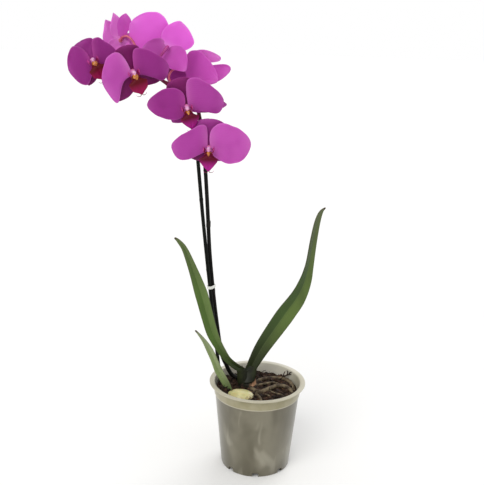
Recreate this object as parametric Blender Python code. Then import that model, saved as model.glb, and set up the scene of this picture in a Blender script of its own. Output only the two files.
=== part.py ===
"""A moth orchid in a translucent nursery pot, with its bark, roots, leaves, stake and flower spike."""

import math

import bmesh
import bpy
import numpy as np
from mathutils import Matrix, Vector

# Lengths in these tables are millimetres. The origin is the middle of the pot's foot, +Z is up,
# and the flowers of the front row face -Y.
MM = 0.001
GAP = 0.35

# The pot: a tapered wall, a shallow collar, a flat rim and a foot with eight drain notches.
POT_HEIGHT = 111.0
RIM_RADIUS = 60.0
COLLAR_RADIUS = 54.2
COLLAR_BASE_Z = 96.0
WALL_TOP_RADIUS = 52.6
FOOT_RADIUS = 43.2
WALL = 1.1
FLOOR_Z = 4.2
BOSS_RADIUS = 9.0
POT_SIDES = 40
NOTCH_COUNT = 8
NOTCH_SIZE = (7.6, 5.2)
DRAIN_RADIUS = 2.6
DRAIN_CIRCLE = 26.0

# The bark fills the pot to this height, with a bumpy top.
BARK_TOP_Z = 97.0
BARK_BUMP = 1.4

# Rows of x, y, z, radius along each round stem.
STAKE_ROWS = [
    (-35.5, 10.0, 14.0, 2.2),
    (-46.2, 12.5, 97.5, 2.2),
    (-61.8, 15.5, 226.0, 2.2),
    (-71.8, 15.0, 318.0, 2.2),
    (-80.6, 13.0, 413.0, 2.2),
]
SPIKE_ROWS = [
    (-24.5, 20.5, 103.0, 2.7),
    (-33.0, 22.5, 107.5, 2.7),
    (-39.5, 22.0, 120.0, 2.6),
    (-46.0, 21.5, 138.0, 2.5),
    (-52.3, 21.5, 183.0, 2.5),
    (-57.4, 21.0, 227.0, 2.5),
    (-61.9, 20.0, 274.0, 2.4),
    (-66.2, 18.0, 331.0, 2.4),
    (-69.7, 14.5, 380.0, 2.3),
    (-73.0, 11.0, 416.0, 2.3),
    (-79.4, 7.0, 449.0, 2.2),
    (-88.5, 6.0, 461.0, 2.1),
    (-101.5, 5.0, 468.5, 2.1),
    (-115.7, 4.0, 476.0, 2.0),
    (-130.2, 3.0, 487.0, 1.9),
    (-142.4, 2.0, 497.5, 1.8),
    (-153.4, 1.0, 504.5, 1.6),
    (-161.0, 0.0, 508.0, 1.4),
]

# The clip that holds the spike to the stake.
CLIP_Z = 226.0
CLIP_HEIGHT = 3.6
CLIP_WALL = 1.1

# The cut base of an old leaf, lying on the bark at the front: centre, half sizes and turn.
STUB_CENTRE = (-20.0, -22.0, 103.5)
STUB_RADII = (16.0, 11.5, 5.0)
STUB_TURN = -8.0

# Rows of x, y, z, half width and turn (degrees about the leaf's own length) along each leaf.
LEAF_THICKNESS = 2.0
LEAF_LEFT_ROWS = [
    (-18.5, 9.5, 120.0, 5.0, 0.0),
    (-28.0, 7.0, 127.0, 4.8, 0.0),
    (-38.0, 4.0, 137.0, 5.0, 0.0),
    (-46.0, 1.0, 150.5, 6.0, 0.0),
    (-52.8, -2.0, 164.8, 7.0, 0.0),
    (-58.4, -4.5, 178.8, 7.9, 5.0),
    (-64.0, -8.0, 199.9, 8.4, 8.0),
    (-69.0, -12.0, 220.6, 8.7, 10.0),
    (-72.8, -14.5, 234.5, 8.5, 12.0),
    (-81.0, -19.5, 260.8, 6.2, 18.0),
    (-90.1, -24.5, 286.7, 4.0, 20.0),
    (-96.7, -28.0, 297.5, 2.6, 20.0),
    (-101.8, -30.0, 303.0, 0.6, 20.0),
]
LEAF_RIGHT_ROWS = [
    (-8.5, 13.5, 119.5, 6.5, 0.0),
    (-6.0, 14.2, 126.5, 7.6, 0.0),
    (2.6, 16.5, 144.0, 9.6, 0.0),
    (12.0, 18.0, 160.0, 10.8, 0.0),
    (27.6, 21.0, 184.3, 12.0, 0.0),
    (36.0, 23.0, 197.2, 12.2, 5.0),
    (44.6, 24.0, 210.4, 12.0, 12.0),
    (51.0, 25.0, 223.4, 10.8, 25.0),
    (55.8, 26.0, 236.4, 9.6, 42.0),
    (58.6, 25.5, 250.0, 8.8, 58.0),
    (60.6, 25.0, 264.0, 8.6, 64.0),
    (63.0, 24.0, 289.0, 8.0, 64.0),
    (66.3, 22.0, 313.0, 6.2, 60.0),
    (70.5, 20.8, 325.5, 3.6, 58.0),
    (75.8, 20.0, 331.0, 0.6, 55.0),
]
LEAF_SMALL_ROWS = [
    (-26.0, 5.0, 101.5, 4.4, 0.0),
    (-35.6, 1.8, 103.5, 4.8, 0.0),
    (-43.5, -1.0, 112.0, 5.4, 0.0),
    (-48.8, -5.0, 126.0, 5.2, 0.0),
    (-54.2, -9.0, 141.1, 4.6, 5.0),
    (-60.0, -13.0, 156.1, 4.2, 10.0),
    (-67.5, -18.0, 171.3, 2.6, 15.0),
    (-77.5, -22.0, 185.3, 0.5, 15.0),
]


def clear_scene():
    for old in list(bpy.data.objects):
        bpy.data.objects.remove(old, do_unlink=True)


def make_material(name, colour, roughness, alpha=1.0):
    made = bpy.data.materials.new(name)
    made.use_nodes = True
    shader = made.node_tree.nodes["Principled BSDF"]
    shader.inputs["Base Color"].default_value = (*colour, 1.0)
    shader.inputs["Roughness"].default_value = roughness
    shader.inputs["Metallic"].default_value = 0.0
    shader.inputs["Alpha"].default_value = alpha
    made.diffuse_color = (*colour, alpha)
    return made


def add_object(name, mesh, material, smooth_angle=40.0):
    """Adds the mesh as one named sub-part, shaded smooth but for edges sharper than smooth_angle."""
    mesh.materials.clear()
    mesh.materials.append(material)
    mesh.shade_smooth()
    mesh.set_sharp_from_angle(angle=math.radians(smooth_angle))
    made = bpy.data.objects.new(name, mesh)
    bpy.context.scene.collection.objects.link(made)
    return made


def hide_cutter(cutter):
    cutter.hide_render = True
    cutter.display_type = "WIRE"


def cut(target, cutter, operation="DIFFERENCE"):
    modifier = target.modifiers.new(operation.title(), "BOOLEAN")
    modifier.operation = operation
    modifier.object = cutter
    modifier.solver = "EXACT"


def smooth_rows(rows, count):
    """Reads count rows at even steps of a smooth curve that runs through all the given rows."""
    given = np.array(rows, float)
    padded = np.vstack([2 * given[0] - given[1], given, 2 * given[-1] - given[-2]])
    result = []
    for step in np.linspace(0.0, len(given) - 1.0, count):
        first = min(int(step), len(given) - 2)
        part = step - first
        before, start, end, after = padded[first : first + 4]
        slope = (end - before) * part
        square = (2 * before - 5 * start + 4 * end - after) * part**2
        cube = (3 * start - before - 3 * end + after) * part**3
        result.append(start + 0.5 * (slope + square + cube))
    return np.array(result)


def directions(points):
    """The unit direction of travel at each point of a path."""
    steps = np.gradient(points, axis=0)
    return steps / np.linalg.norm(steps, axis=1)[:, None]


def tube_mesh(name, rows, sides, grow=0.0):
    """A closed tube along rows of x, y, z and radius, in millimetres, made wider by grow."""
    points = rows[:, :3]
    ahead = directions(points)
    across = Vector(ahead[0]).orthogonal().normalized()
    form = bmesh.new()
    rings = []
    for point, forward, radius in zip(points, ahead, rows[:, 3] + grow):
        forward = Vector(forward)
        across = (across - across.dot(forward) * forward).normalized()
        other = forward.cross(across)
        ring = []
        for side in range(sides):
            angle = math.tau * side / sides
            offset = (math.cos(angle) * across + math.sin(angle) * other) * radius
            ring.append(form.verts.new((Vector(point) + offset) * MM))
        rings.append(ring)
    for lower, upper in zip(rings, rings[1:]):
        for side in range(sides):
            after = (side + 1) % sides
            form.faces.new((lower[side], lower[after], upper[after], upper[side]))
    form.faces.new(rings[0][::-1])
    form.faces.new(rings[-1])
    mesh = bpy.data.meshes.new(name)
    form.to_mesh(mesh)
    form.free()
    return mesh


def lathe_mesh(name, profile, sides):
    """Turns a closed profile of radius and height, in millimetres, about the Z axis."""
    form = bmesh.new()
    outline = [form.verts.new((radius * MM, 0.0, height * MM)) for radius, height in profile]
    edges = [form.edges.new(pair) for pair in zip(outline, outline[1:])]
    bmesh.ops.spin(
        form,
        geom=outline + edges,
        cent=(0, 0, 0),
        axis=(0, 0, 1),
        angle=math.tau,
        steps=sides,
        use_merge=True,
    )
    bmesh.ops.remove_doubles(form, verts=form.verts, dist=1e-6)
    bmesh.ops.recalc_face_normals(form, faces=form.faces)
    mesh = bpy.data.meshes.new(name)
    form.to_mesh(mesh)
    form.free()
    return mesh


def sheet(name, grid, thickness, material):
    """A thin closed blade: a grid of points in millimetres, given its thickness by Solidify."""
    rows, columns = len(grid), len(grid[0])
    form = bmesh.new()
    verts = [[form.verts.new(Vector(point) * MM) for point in line] for line in grid]
    for row in range(rows - 1):
        for column in range(columns - 1):
            corners = (
                verts[row][column],
                verts[row][column + 1],
                verts[row + 1][column + 1],
                verts[row + 1][column],
            )
            form.faces.new(corners)
    bmesh.ops.remove_doubles(form, verts=form.verts, dist=1e-6)
    mesh = bpy.data.meshes.new(name)
    form.to_mesh(mesh)
    form.free()
    made = add_object(name, mesh, material, 80.0)
    solid = made.modifiers.new("Thickness", "SOLIDIFY")
    solid.thickness = thickness * MM
    solid.offset = 0.0
    return made


# ---------------------------------------------------------------- pot


def pot_wall_radius(height):
    """Outer radius of the tapered wall at a height."""
    return FOOT_RADIUS + (WALL_TOP_RADIUS - FOOT_RADIUS) * height / COLLAR_BASE_Z


def make_pot(material):
    outside = [
        (0.0, 0.0),
        (BOSS_RADIUS, 0.0),
        (BOSS_RADIUS + 1.5, FLOOR_Z),
        (FOOT_RADIUS - 3.6, FLOOR_Z),
        (FOOT_RADIUS - 2.6, 0.0),
        (FOOT_RADIUS - 0.5, 0.0),
        (pot_wall_radius(0.7), 0.7),
        (WALL_TOP_RADIUS, COLLAR_BASE_Z - 0.8),
        (COLLAR_RADIUS - 0.6, COLLAR_BASE_Z),
        (COLLAR_RADIUS, POT_HEIGHT - 2.4),
        (COLLAR_RADIUS + 0.7, POT_HEIGHT - 1.4),
        (RIM_RADIUS - 0.5, POT_HEIGHT - 1.5),
        (RIM_RADIUS, POT_HEIGHT - 0.9),
        (RIM_RADIUS - 0.4, POT_HEIGHT - 0.1),
        (COLLAR_RADIUS + 0.8, POT_HEIGHT),
        (COLLAR_RADIUS - 0.6, POT_HEIGHT - 0.5),
        (COLLAR_RADIUS - WALL, POT_HEIGHT - 2.0),
        (COLLAR_RADIUS - 0.6 - WALL, COLLAR_BASE_Z + 0.4),
        (WALL_TOP_RADIUS - WALL, COLLAR_BASE_Z - 1.2),
        (pot_wall_radius(FLOOR_Z + 3.0) - WALL, FLOOR_Z + 3.0),
        (pot_wall_radius(FLOOR_Z + WALL) - WALL - 1.6, FLOOR_Z + WALL),
        (BOSS_RADIUS + 0.9, FLOOR_Z + WALL),
        (BOSS_RADIUS - 0.6, WALL),
        (0.0, WALL),
    ]
    pot = add_object("pot", lathe_mesh("pot", outside, POT_SIDES), material, 35.0)
    cutter_form = bmesh.new()
    for number in range(NOTCH_COUNT):
        turn = Matrix.Rotation(math.tau * (number - 2) / NOTCH_COUNT, 4, "Z")
        width, height = NOTCH_SIZE
        size = Matrix.Diagonal((8 * MM, width * MM, 2 * height * MM, 1.0))
        place = turn @ Matrix.Translation((FOOT_RADIUS * MM, 0.0, 0.0)) @ size
        bmesh.ops.create_cube(cutter_form, size=1.0, matrix=place)
        half_turn = Matrix.Rotation(math.tau * (number - 1.5) / NOTCH_COUNT, 4, "Z")
        hole = half_turn @ Matrix.Translation((DRAIN_CIRCLE * MM, 0.0, FLOOR_Z * MM))
        bmesh.ops.create_cone(
            cutter_form,
            cap_ends=True,
            segments=10,
            radius1=DRAIN_RADIUS * MM,
            radius2=DRAIN_RADIUS * MM,
            depth=6 * MM,
            matrix=hole,
        )
    mesh = bpy.data.meshes.new("pot_drainage")
    cutter_form.to_mesh(mesh)
    cutter_form.free()
    drainage = add_object("pot_drainage", mesh, material)
    hide_cutter(drainage)
    cut(pot, drainage)


# ---------------------------------------------------------------- growing medium and roots

# Rows of x, y, z, radius: the short stem that the leaves grow from, then its roots.
STEM_ROWS = [
    (-12.0, 12.0, 84.0, 6.0),
    (-12.5, 12.5, 92.0, 10.0),
    (-13.0, 13.0, 102.0, 10.5),
    (-13.5, 12.5, 113.5, 8.0),
]
ROOT_ROWS = [
    [
        (-9.0, 8.0, 97.0, 2.6),
        (-3.0, -5.0, 99.0, 2.6),
        (4.0, -11.0, 100.5, 2.7),
        (12.0, -6.0, 101.0, 2.7),
        (24.0, 5.0, 101.0, 2.6),
        (35.0, 6.0, 100.5, 2.5),
        (43.0, -3.0, 98.5, 2.4),
        (43.5, -12.0, 93.0, 2.2),
        (41.0, -18.0, 86.0, 1.8),
    ],
    [
        (-6.0, 16.0, 98.0, 2.4),
        (8.0, 27.0, 99.5, 2.4),
        (24.0, 31.0, 99.8, 2.3),
        (38.0, 26.0, 100.0, 2.3),
        (45.0, 12.0, 99.0, 2.2),
        (46.0, 1.0, 94.5, 2.1),
        (43.0, -4.0, 87.0, 1.7),
    ],
    [
        (-9.0, 4.0, 95.0, 2.0),
        (-2.0, -13.0, 98.5, 1.8),
        (3.0, -24.0, 99.0, 1.8),
        (6.0, -34.0, 95.5, 1.6),
        (7.0, -38.0, 88.0, 1.3),
    ],
    [
        (-16.0, 18.0, 97.0, 2.2),
        (-20.0, 31.0, 98.5, 2.1),
        (-23.0, 38.0, 93.0, 1.9),
        (-24.0, 39.5, 84.0, 1.5),
    ],
]
ROOT_SIDES = 8


def bark_height(x, y):
    """Height of the bark's top at a place: a gentle swell towards the back and small lumps."""
    swell = 1.5 * y / WALL_TOP_RADIUS
    lumps = math.sin(0.31 * x + 0.9) * math.cos(0.27 * y - 0.4) + 0.6 * math.sin(0.17 * x - 0.45 * y)
    return BARK_TOP_Z + swell + BARK_BUMP * lumps


def make_bark(material, cutters):
    """A closed plug with the pot's own taper, less the stem, the roots and the stake."""
    side_radius = {
        FLOOR_Z + WALL + GAP: pot_wall_radius(FLOOR_Z) - WALL - 2.2,
        FLOOR_Z + 3.5: pot_wall_radius(FLOOR_Z + 3.0) - WALL - GAP,
        BARK_TOP_Z - 6.0: pot_wall_radius(BARK_TOP_Z - 6.0) - WALL - GAP,
    }
    sides = 32
    rings_inward = (0.985, 0.82, 0.62, 0.4, 0.2)
    form = bmesh.new()
    rings = []
    for height, radius in side_radius.items():
        ring = []
        for side in range(sides):
            angle = math.tau * side / sides
            place = (radius * math.cos(angle), radius * math.sin(angle), height)
            ring.append(form.verts.new(Vector(place) * MM))
        rings.append(ring)
    for share in rings_inward:
        ring = []
        for side in range(sides):
            angle = math.tau * side / sides
            x = share * radius * math.cos(angle)
            y = share * radius * math.sin(angle)
            ring.append(form.verts.new((x * MM, y * MM, bark_height(x, y) * MM)))
        rings.append(ring)
    for lower, upper in zip(rings, rings[1:]):
        for side in range(sides):
            after = (side + 1) % sides
            form.faces.new((lower[side], lower[after], upper[after], upper[side]))
    form.faces.new(rings[0][::-1])
    middle = form.verts.new((0.0, 0.0, bark_height(0.0, 0.0) * MM))
    for side in range(sides):
        form.faces.new((rings[-1][side], rings[-1][(side + 1) % sides], middle))
    mesh = bpy.data.meshes.new("bark_mix")
    form.to_mesh(mesh)
    form.free()
    bark = add_object("bark_mix", mesh, material)
    for cutter in cutters:
        cut(bark, cutter)


def make_roots(material):
    """Joins the stem and its roots into one grown body, and returns the wider shapes that clear it."""
    shapes = [("stem", STEM_ROWS, 12, 10)]
    shapes += [(f"root_{number}", rows, 16, ROOT_SIDES) for number, rows in enumerate(ROOT_ROWS)]
    clearances = []
    body = None
    for name, rows, count, sides in shapes:
        smooth = smooth_rows(rows, count)
        if body is None:
            body = add_object("root_crown", tube_mesh(name, smooth, sides), material)
        else:
            branch = add_object(f"{name}_joined", tube_mesh(name, smooth, sides), material)
            hide_cutter(branch)
            cut(body, branch, "UNION")
        clearance = add_object(f"{name}_clearance", tube_mesh(name, smooth, sides, grow=GAP), material)
        hide_cutter(clearance)
        clearances.append(clearance)
    return clearances


# ---------------------------------------------------------------- stake, spike and clip


def make_stems(spike_material, stake_material, clip_material):
    spike = smooth_rows(SPIKE_ROWS, 46)
    add_object("flower_spike", tube_mesh("flower_spike", spike, 10), spike_material)
    stake = smooth_rows(STAKE_ROWS, 16)
    add_object("support_stake", tube_mesh("support_stake", stake, 10), stake_material)
    hole = add_object("stake_hole", tube_mesh("stake_hole", stake, 10, grow=GAP), stake_material)
    hide_cutter(hole)
    make_clip(clip_material)
    return hole


def make_clip(material):
    """A flat plastic ring that holds the spike against the stake."""
    spike = nearest_row(smooth_rows(SPIKE_ROWS, 200), CLIP_Z)
    stake = nearest_row(smooth_rows(STAKE_ROWS, 200), CLIP_Z)
    along = Vector((spike[0] - stake[0], spike[1] - stake[1], 0.0))
    turn = math.atan2(along.y, along.x)
    loops = []
    for radius in (spike[3] + 0.6, spike[3] + 0.6 + CLIP_WALL):
        loop = []
        for step in range(8):
            angle = turn - math.pi / 2 + math.pi * step / 7
            loop.append((spike[0] + radius * math.cos(angle), spike[1] + radius * math.sin(angle)))
        for step in range(8):
            angle = turn + math.pi / 2 + math.pi * step / 7
            loop.append((stake[0] + radius * math.cos(angle), stake[1] + radius * math.sin(angle)))
        loops.append(loop)
    form = bmesh.new()
    rings = []
    for loop, height in ((loops[0], -0.5), (loops[1], -0.5), (loops[1], 0.5), (loops[0], 0.5)):
        z = CLIP_Z + height * CLIP_HEIGHT
        rings.append([form.verts.new((x * MM, y * MM, z * MM)) for x, y in loop])
    for lower, upper in zip(rings, rings[1:] + rings[:1]):
        for side in range(len(lower)):
            after = (side + 1) % len(lower)
            form.faces.new((lower[side], lower[after], upper[after], upper[side]))
    mesh = bpy.data.meshes.new("stem_clip")
    bmesh.ops.recalc_face_normals(form, faces=form.faces)
    form.to_mesh(mesh)
    form.free()
    add_object("stem_clip", mesh, material)


def nearest_row(rows, height):
    return rows[np.argmin(np.abs(rows[:, 2] - height))]


# ---------------------------------------------------------------- leaves


def leaf_grid(rows, count, columns, fold, arch=0.0):
    """Points across a leaf: its halves rise from the midrib by the fold angle, in degrees."""
    smooth = smooth_rows(rows, count)
    points = smooth[:, :3]
    grid = []
    for point, forward, half, turn in zip(points, directions(points), smooth[:, 3], smooth[:, 4]):
        forward = Vector(forward)
        flat = forward.cross(Vector((0.0, -1.0, 0.0))).normalized()
        front = flat.cross(forward).normalized()
        across = Matrix.Rotation(math.radians(turn), 3, forward) @ flat
        face = Matrix.Rotation(math.radians(turn), 3, forward) @ front
        line = []
        for share in np.linspace(-1.0, 1.0, columns):
            side = half * share * math.cos(math.radians(fold))
            rise = half * (abs(share) * math.sin(math.radians(fold)) - arch * share**2)
            line.append(Vector(point) + across * side + face * rise)
        grid.append(line)
    return grid


def make_leaves(leaf_material, stub_material):
    sheet("leaf_left", leaf_grid(LEAF_LEFT_ROWS, 16, 5, 28.0), LEAF_THICKNESS, leaf_material)
    sheet("leaf_right", leaf_grid(LEAF_RIGHT_ROWS, 18, 5, 14.0), LEAF_THICKNESS, leaf_material)
    sheet("leaf_small", leaf_grid(LEAF_SMALL_ROWS, 12, 5, 20.0), LEAF_THICKNESS, leaf_material)
    form = bmesh.new()
    bmesh.ops.create_uvsphere(form, u_segments=16, v_segments=8, radius=1.0)
    size = Matrix.Diagonal((*(axis * MM for axis in STUB_RADII), 1.0))
    place = Matrix.Translation(Vector(STUB_CENTRE) * MM) @ Matrix.Rotation(math.radians(STUB_TURN), 4, "Z")
    bmesh.ops.transform(form, matrix=place @ size, verts=form.verts)
    mesh = bpy.data.meshes.new("leaf_stub")
    form.to_mesh(mesh)
    form.free()
    add_object("leaf_stub", mesh, stub_material)


# ---------------------------------------------------------------- flowers

# Every blade of a flower has an angle in the flower's face (0 to the right as seen from in front, 90 up)
# and a length. Its two edges are given by their greatest distance from the middle line and by where along
# the blade that is; the upper edge is the one nearer the top sepal. It then leans forward, bends back,
# cups its edges forward, droops sideways and twists, all as shares of its length.
FLAT = dict(lean=0.0, bend=0.0, cup=0.0, droop=0.0, twist=0.0)
PETAL = dict(FLAT, length=38.0, upper=(21.0, 0.3), lower=(14.0, 0.6), tip=0.52, lean=0.1, bend=0.2, cup=-0.1)
SEPAL_EDGE = (10.0, 0.5)
SEPAL = dict(FLAT, length=28.0, upper=SEPAL_EDGE, lower=SEPAL_EDGE, tip=0.65, lean=-0.1, bend=0.1, cup=-0.1)
BLADES = {
    "petal_right": dict(PETAL, angle=14.0),
    "petal_left": dict(PETAL, angle=166.0),
    "sepal_top": dict(SEPAL, angle=90.0, upper=(13.5, 0.7), lower=(13.5, 0.7), tip=0.42),
    "sepal_left": dict(SEPAL, angle=232.0),
    "sepal_right": dict(SEPAL, angle=308.0),
}
CLAW = 1.6
HUB_RADIUS = 3.6
PETAL_LIFT = 1.2
SEPAL_LIFT = -1.2
PETAL_THICKNESS = 0.9

# Each flower: its centre, its turn about Z, its nod downwards and its roll anticlockwise in degrees,
# how far along the spike its stalk leaves it, what its own blades change, and
# the places that its stalk passes.
FLOWERS = [
    dict(
        centre=(-62.8, -42.0, 411.2), turn=0.0, nod=4.0, roll=0.0, node=330.0,
        blades=dict(
            petal_left=dict(angle=181.0, length=38.0, upper=(21.5, 0.14), lower=(15.0, 0.7)),
            petal_right=dict(angle=5.5, length=42.5, upper=(23.5, 0.35), lower=(20.0, 0.55)),
            sepal_top=dict(angle=89.5, length=26.5, upper=(17.0, 0.7), lower=(17.0, 0.7)),
            sepal_left=dict(angle=203.0, length=24.0),
            sepal_right=dict(angle=337.0, length=24.0),
        ),
    ),
    dict(
        centre=(-88.7, -30.0, 454.0), turn=8.0, nod=5.0, roll=15.0, node=363.0,
        blades=dict(
            petal_left=dict(angle=165.0, length=39.4, upper=(18.5, 0.38), lower=(13.5, 0.4)),
            petal_right=dict(angle=-7.5, length=38.0, upper=(26.5, 0.28), lower=(12.0, 0.76)),
            sepal_top=dict(angle=96.5, length=27.3, upper=(14.5, 0.72), lower=(14.5, 0.72)),
            sepal_left=dict(angle=217.0, length=21.0, upper=(9.0, 0.5), lower=(9.0, 0.5)),
            sepal_right=dict(angle=345.0, length=42.0, upper=(9.0, 0.5), lower=(7.0, 0.5)),
        ),
    ),
    dict(
        centre=(-146.8, -36.0, 490.8), turn=18.0, nod=5.0, roll=20.0, node=429.0,
        blades=dict(
            petal_left=dict(angle=186.5, length=31.5, upper=(24.0, 0.36), lower=(24.5, 0.84)),
            petal_right=dict(angle=-13.5, length=37.0, upper=(20.0, 0.28), lower=(13.5, 0.78)),
            sepal_top=dict(angle=84.5, length=23.5, upper=(13.5, 0.75), lower=(13.5, 0.75)),
            sepal_left=dict(angle=227.5, length=33.0, upper=(9.5, 0.5), lower=(9.5, 0.5)),
            sepal_right=dict(angle=319.5, length=30.0, upper=(8.5, 0.5), lower=(8.5, 0.5)),
        ),
    ),
    dict(
        centre=(-194.8, -12.0, 499.7), turn=16.0, nod=-8.0, roll=26.0, node=453.0,
        via=[(-171.8, 4.0, 502.5), (-184.5, 5.0, 499.5)],
        blades=dict(
            petal_left=dict(angle=180.5, length=24.5, upper=(19.8, 0.4), lower=(20.4, 0.6)),
            petal_right=dict(angle=-21.5, length=27.5, upper=(20.5, 0.25), lower=(8.0, 0.6)),
            sepal_top=dict(angle=95.5, length=20.0, upper=(13.5, 0.75), lower=(13.5, 0.75)),
            sepal_left=dict(angle=235.5, length=24.0, upper=(8.0, 0.5), lower=(8.0, 0.5)),
            sepal_right=dict(angle=318.0, length=22.0, lean=-0.4, upper=(8.0, 0.5), lower=(8.0, 0.5)),
        ),
    ),
    dict(
        centre=(-166.9, 18.0, 520.6), turn=180.0, nod=0.0, roll=0.0, node=440.0,
        via=[(-149.6, 7.0, 516.1), (-154.4, 10.0, 522.4), (-159.7, 12.0, 525.4), (-164.5, 14.0, 524.1)],
        blades=dict(
            petal_right=dict(angle=52.0, length=24.0, upper=(5.0, 0.5), lower=(18.0, 0.14), tip=0.7),
            petal_left=dict(angle=195.0, length=16.0, upper=(8.0, 0.4), lower=(8.0, 0.5)),
            sepal_top=dict(angle=93.0, length=28.6, upper=(11.0, 0.78), lower=(11.0, 0.78), cup=0.5),
            sepal_left=dict(angle=226.0, length=12.0, upper=(5.0, 0.6), lower=(5.0, 0.6)),
            sepal_right=dict(angle=312.0, length=13.0, upper=(7.0, 0.5), lower=(5.5, 0.6)),
        ),
    ),
    dict(
        centre=(-114.4, 15.0, 513.3), turn=180.0, nod=0.0, roll=0.0, node=418.0,
        via=[(-124.9, 6.0, 498.1)],
        blades=dict(
            petal_right=dict(angle=34.4, length=45.0, upper=(25.5, 0.52), lower=(20.0, 0.5)),
            petal_left=dict(angle=165.0, length=15.0, lean=0.6, upper=(9.0, 0.6), lower=(7.0, 0.6)),
            sepal_top=dict(angle=118.0, length=30.0, upper=(11.0, 0.45), lower=(23.5, 0.5), tip=0.6),
            sepal_left=dict(angle=228.0, length=29.0, upper=(11.6, 0.6), lower=(7.0, 0.5), lean=-0.25),
            sepal_right=dict(angle=355.0, length=24.0, upper=(10.0, 0.4), lower=(12.0, 0.4), tip=0.5),
        ),
    ),
    dict(
        centre=(-99.8, 32.0, 492.5), turn=180.0, nod=0.0, roll=0.0, node=400.0,
        via=[(-112.1, 14.0, 482.2), (-108.5, 19.0, 488.7)],
        blades=dict(
            sepal_left=dict(angle=200.0, length=42.0, upper=(21.5, 0.28), lower=(11.0, 0.42), tip=0.52),
            petal_right=dict(angle=140.0, length=38.7, droop=0.53, upper=(9.0, 0.7), lower=(9.0, 0.7)),
            petal_left=dict(angle=205.0, length=50.0, droop=-0.4, lean=0.3, upper=(11.0, 0.75), lower=(13.0, 0.75)),
            sepal_top=dict(angle=95.0, length=10.0, upper=(5.0, 0.6), lower=(5.0, 0.6)),
            sepal_right=dict(angle=292.0, length=16.0, upper=(7.0, 0.65), lower=(8.0, 0.6)),
        ),
    ),
]


def flower_frame(flower):
    """The flower's own axes: it faces its local -Y, with its top sepal up its local Z."""
    turn = Matrix.Rotation(math.radians(flower["turn"]), 4, "Z")
    nod = Matrix.Rotation(math.radians(flower["nod"]), 4, "X")
    roll = Matrix.Rotation(math.radians(-flower["roll"]), 4, "Y")
    return Matrix.Translation(Vector(flower["centre"])) @ turn @ nod @ roll


def edge_distance(edge, tip, t):
    """How far one edge of a blade is from its middle line, from the claw (t = 0) to the tip (t = 1)."""
    half, widest = edge
    power = math.log(0.5) / math.log(widest)
    return half * max(math.sin(math.pi * t**power), 0.0) ** tip + CLAW * (1.0 - t) ** 2


def blade_grid(frame, blade, lift, rows, columns):
    """Points of a petal or sepal, from its narrow claw beside the stalk to its rounded tip."""
    angle = math.radians(blade["angle"])
    along = Vector((math.cos(angle), 0.0, math.sin(angle)))
    across = Vector((-math.sin(angle), 0.0, math.cos(angle)))
    front = Vector((0.0, -1.0, 0.0))
    length = blade["length"]
    ahead, behind = (blade["upper"], blade["lower"]) if along.x > 0.0 else (blade["lower"], blade["upper"])
    grid = []
    for row in range(rows + 1):
        t = 0.5 - 0.5 * math.cos(math.pi * row / rows)
        middle = along * (HUB_RADIUS + length * t) + across * blade["droop"] * length * t**2
        middle += front * (lift + length * (blade["lean"] * t - blade["bend"] * t**2))
        line = []
        for share in np.linspace(-1.0, 1.0, columns + 1):
            side = share * edge_distance(ahead if share > 0.0 else behind, blade["tip"], t)
            depth = blade["cup"] * side**2 / length + blade["twist"] * side * t
            line.append(frame @ (middle + across * side + front * depth))
        grid.append(line)
    return grid


# Rows of forward, down, half width and curl (degrees) along the lip: throat, side lobes, front lobe.
LIP_ROWS = [
    (2.0, 3.8, 1.8, 20.0),
    (6.0, 4.6, 6.0, 75.0),
    (10.0, 6.0, 7.0, 80.0),
    (12.5, 8.0, 7.5, 40.0),
    (13.5, 10.5, 10.0, 16.0),
    (13.5, 13.5, 10.0, 8.0),
    (13.0, 18.0, 5.5, 8.0),
    (12.0, 22.5, 2.2, 10.0),
    (10.5, 25.0, 0.5, 10.0),
]
LIP_THICKNESS = 1.0


def lip_grid(frame, rows, columns):
    """Points of the lip: each cross-section is an arc that curls up beside the column."""
    smooth = smooth_rows(LIP_ROWS, rows + 1)
    path = np.column_stack([np.zeros(rows + 1), -smooth[:, 0], -smooth[:, 1]])
    grid = []
    for point, forward, half, curl in zip(path, directions(path), smooth[:, 2], smooth[:, 3]):
        inward = Vector((1.0, 0.0, 0.0)).cross(Vector(forward))
        curl = math.radians(curl)
        radius = half / curl
        line = []
        for share in np.linspace(-1.0, 1.0, columns + 1):
            side = Vector((radius * math.sin(curl * share), 0.0, 0.0))
            rise = inward * radius * (1.0 - math.cos(curl * share))
            line.append(frame @ (Vector(point) + side + rise))
        grid.append(line)
    return grid


def stalk_rows(frame, node, via):
    """Rows of the stalk: from beside the spike, through the hub of the flower, to the column's tip."""
    start = Vector(node[:3])
    ahead = Vector(node[4:])
    behind = frame @ Vector((0.0, 13.0, 0.0))
    leave = (Vector(via[0]) if via else behind) - start
    leave = (leave - leave.dot(ahead) * ahead).normalized()
    first = start + leave * (node[3] + 3.0 * GAP)
    halfway = (first + leave * 8.0 + behind) * 0.5 + Vector((0.0, 0.0, 2.0))
    middle = [Vector(place) for place in via] or [halfway]
    places = [first, first + leave * 2.5, *middle]
    if not via:
        places.append(behind)
    rows = [(*place, 1.5) for place in places]
    column = ((6.5, 0.0, 1.9), (1.0, 0.0, 2.3), (-4.0, -0.6, 2.6), (-7.5, -1.6, 2.5), (-9.5, -2.4, 1.2))
    for back, up, radius in column:
        rows.append((*(frame @ Vector((0.0, back, up))), radius))
    return rows


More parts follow.
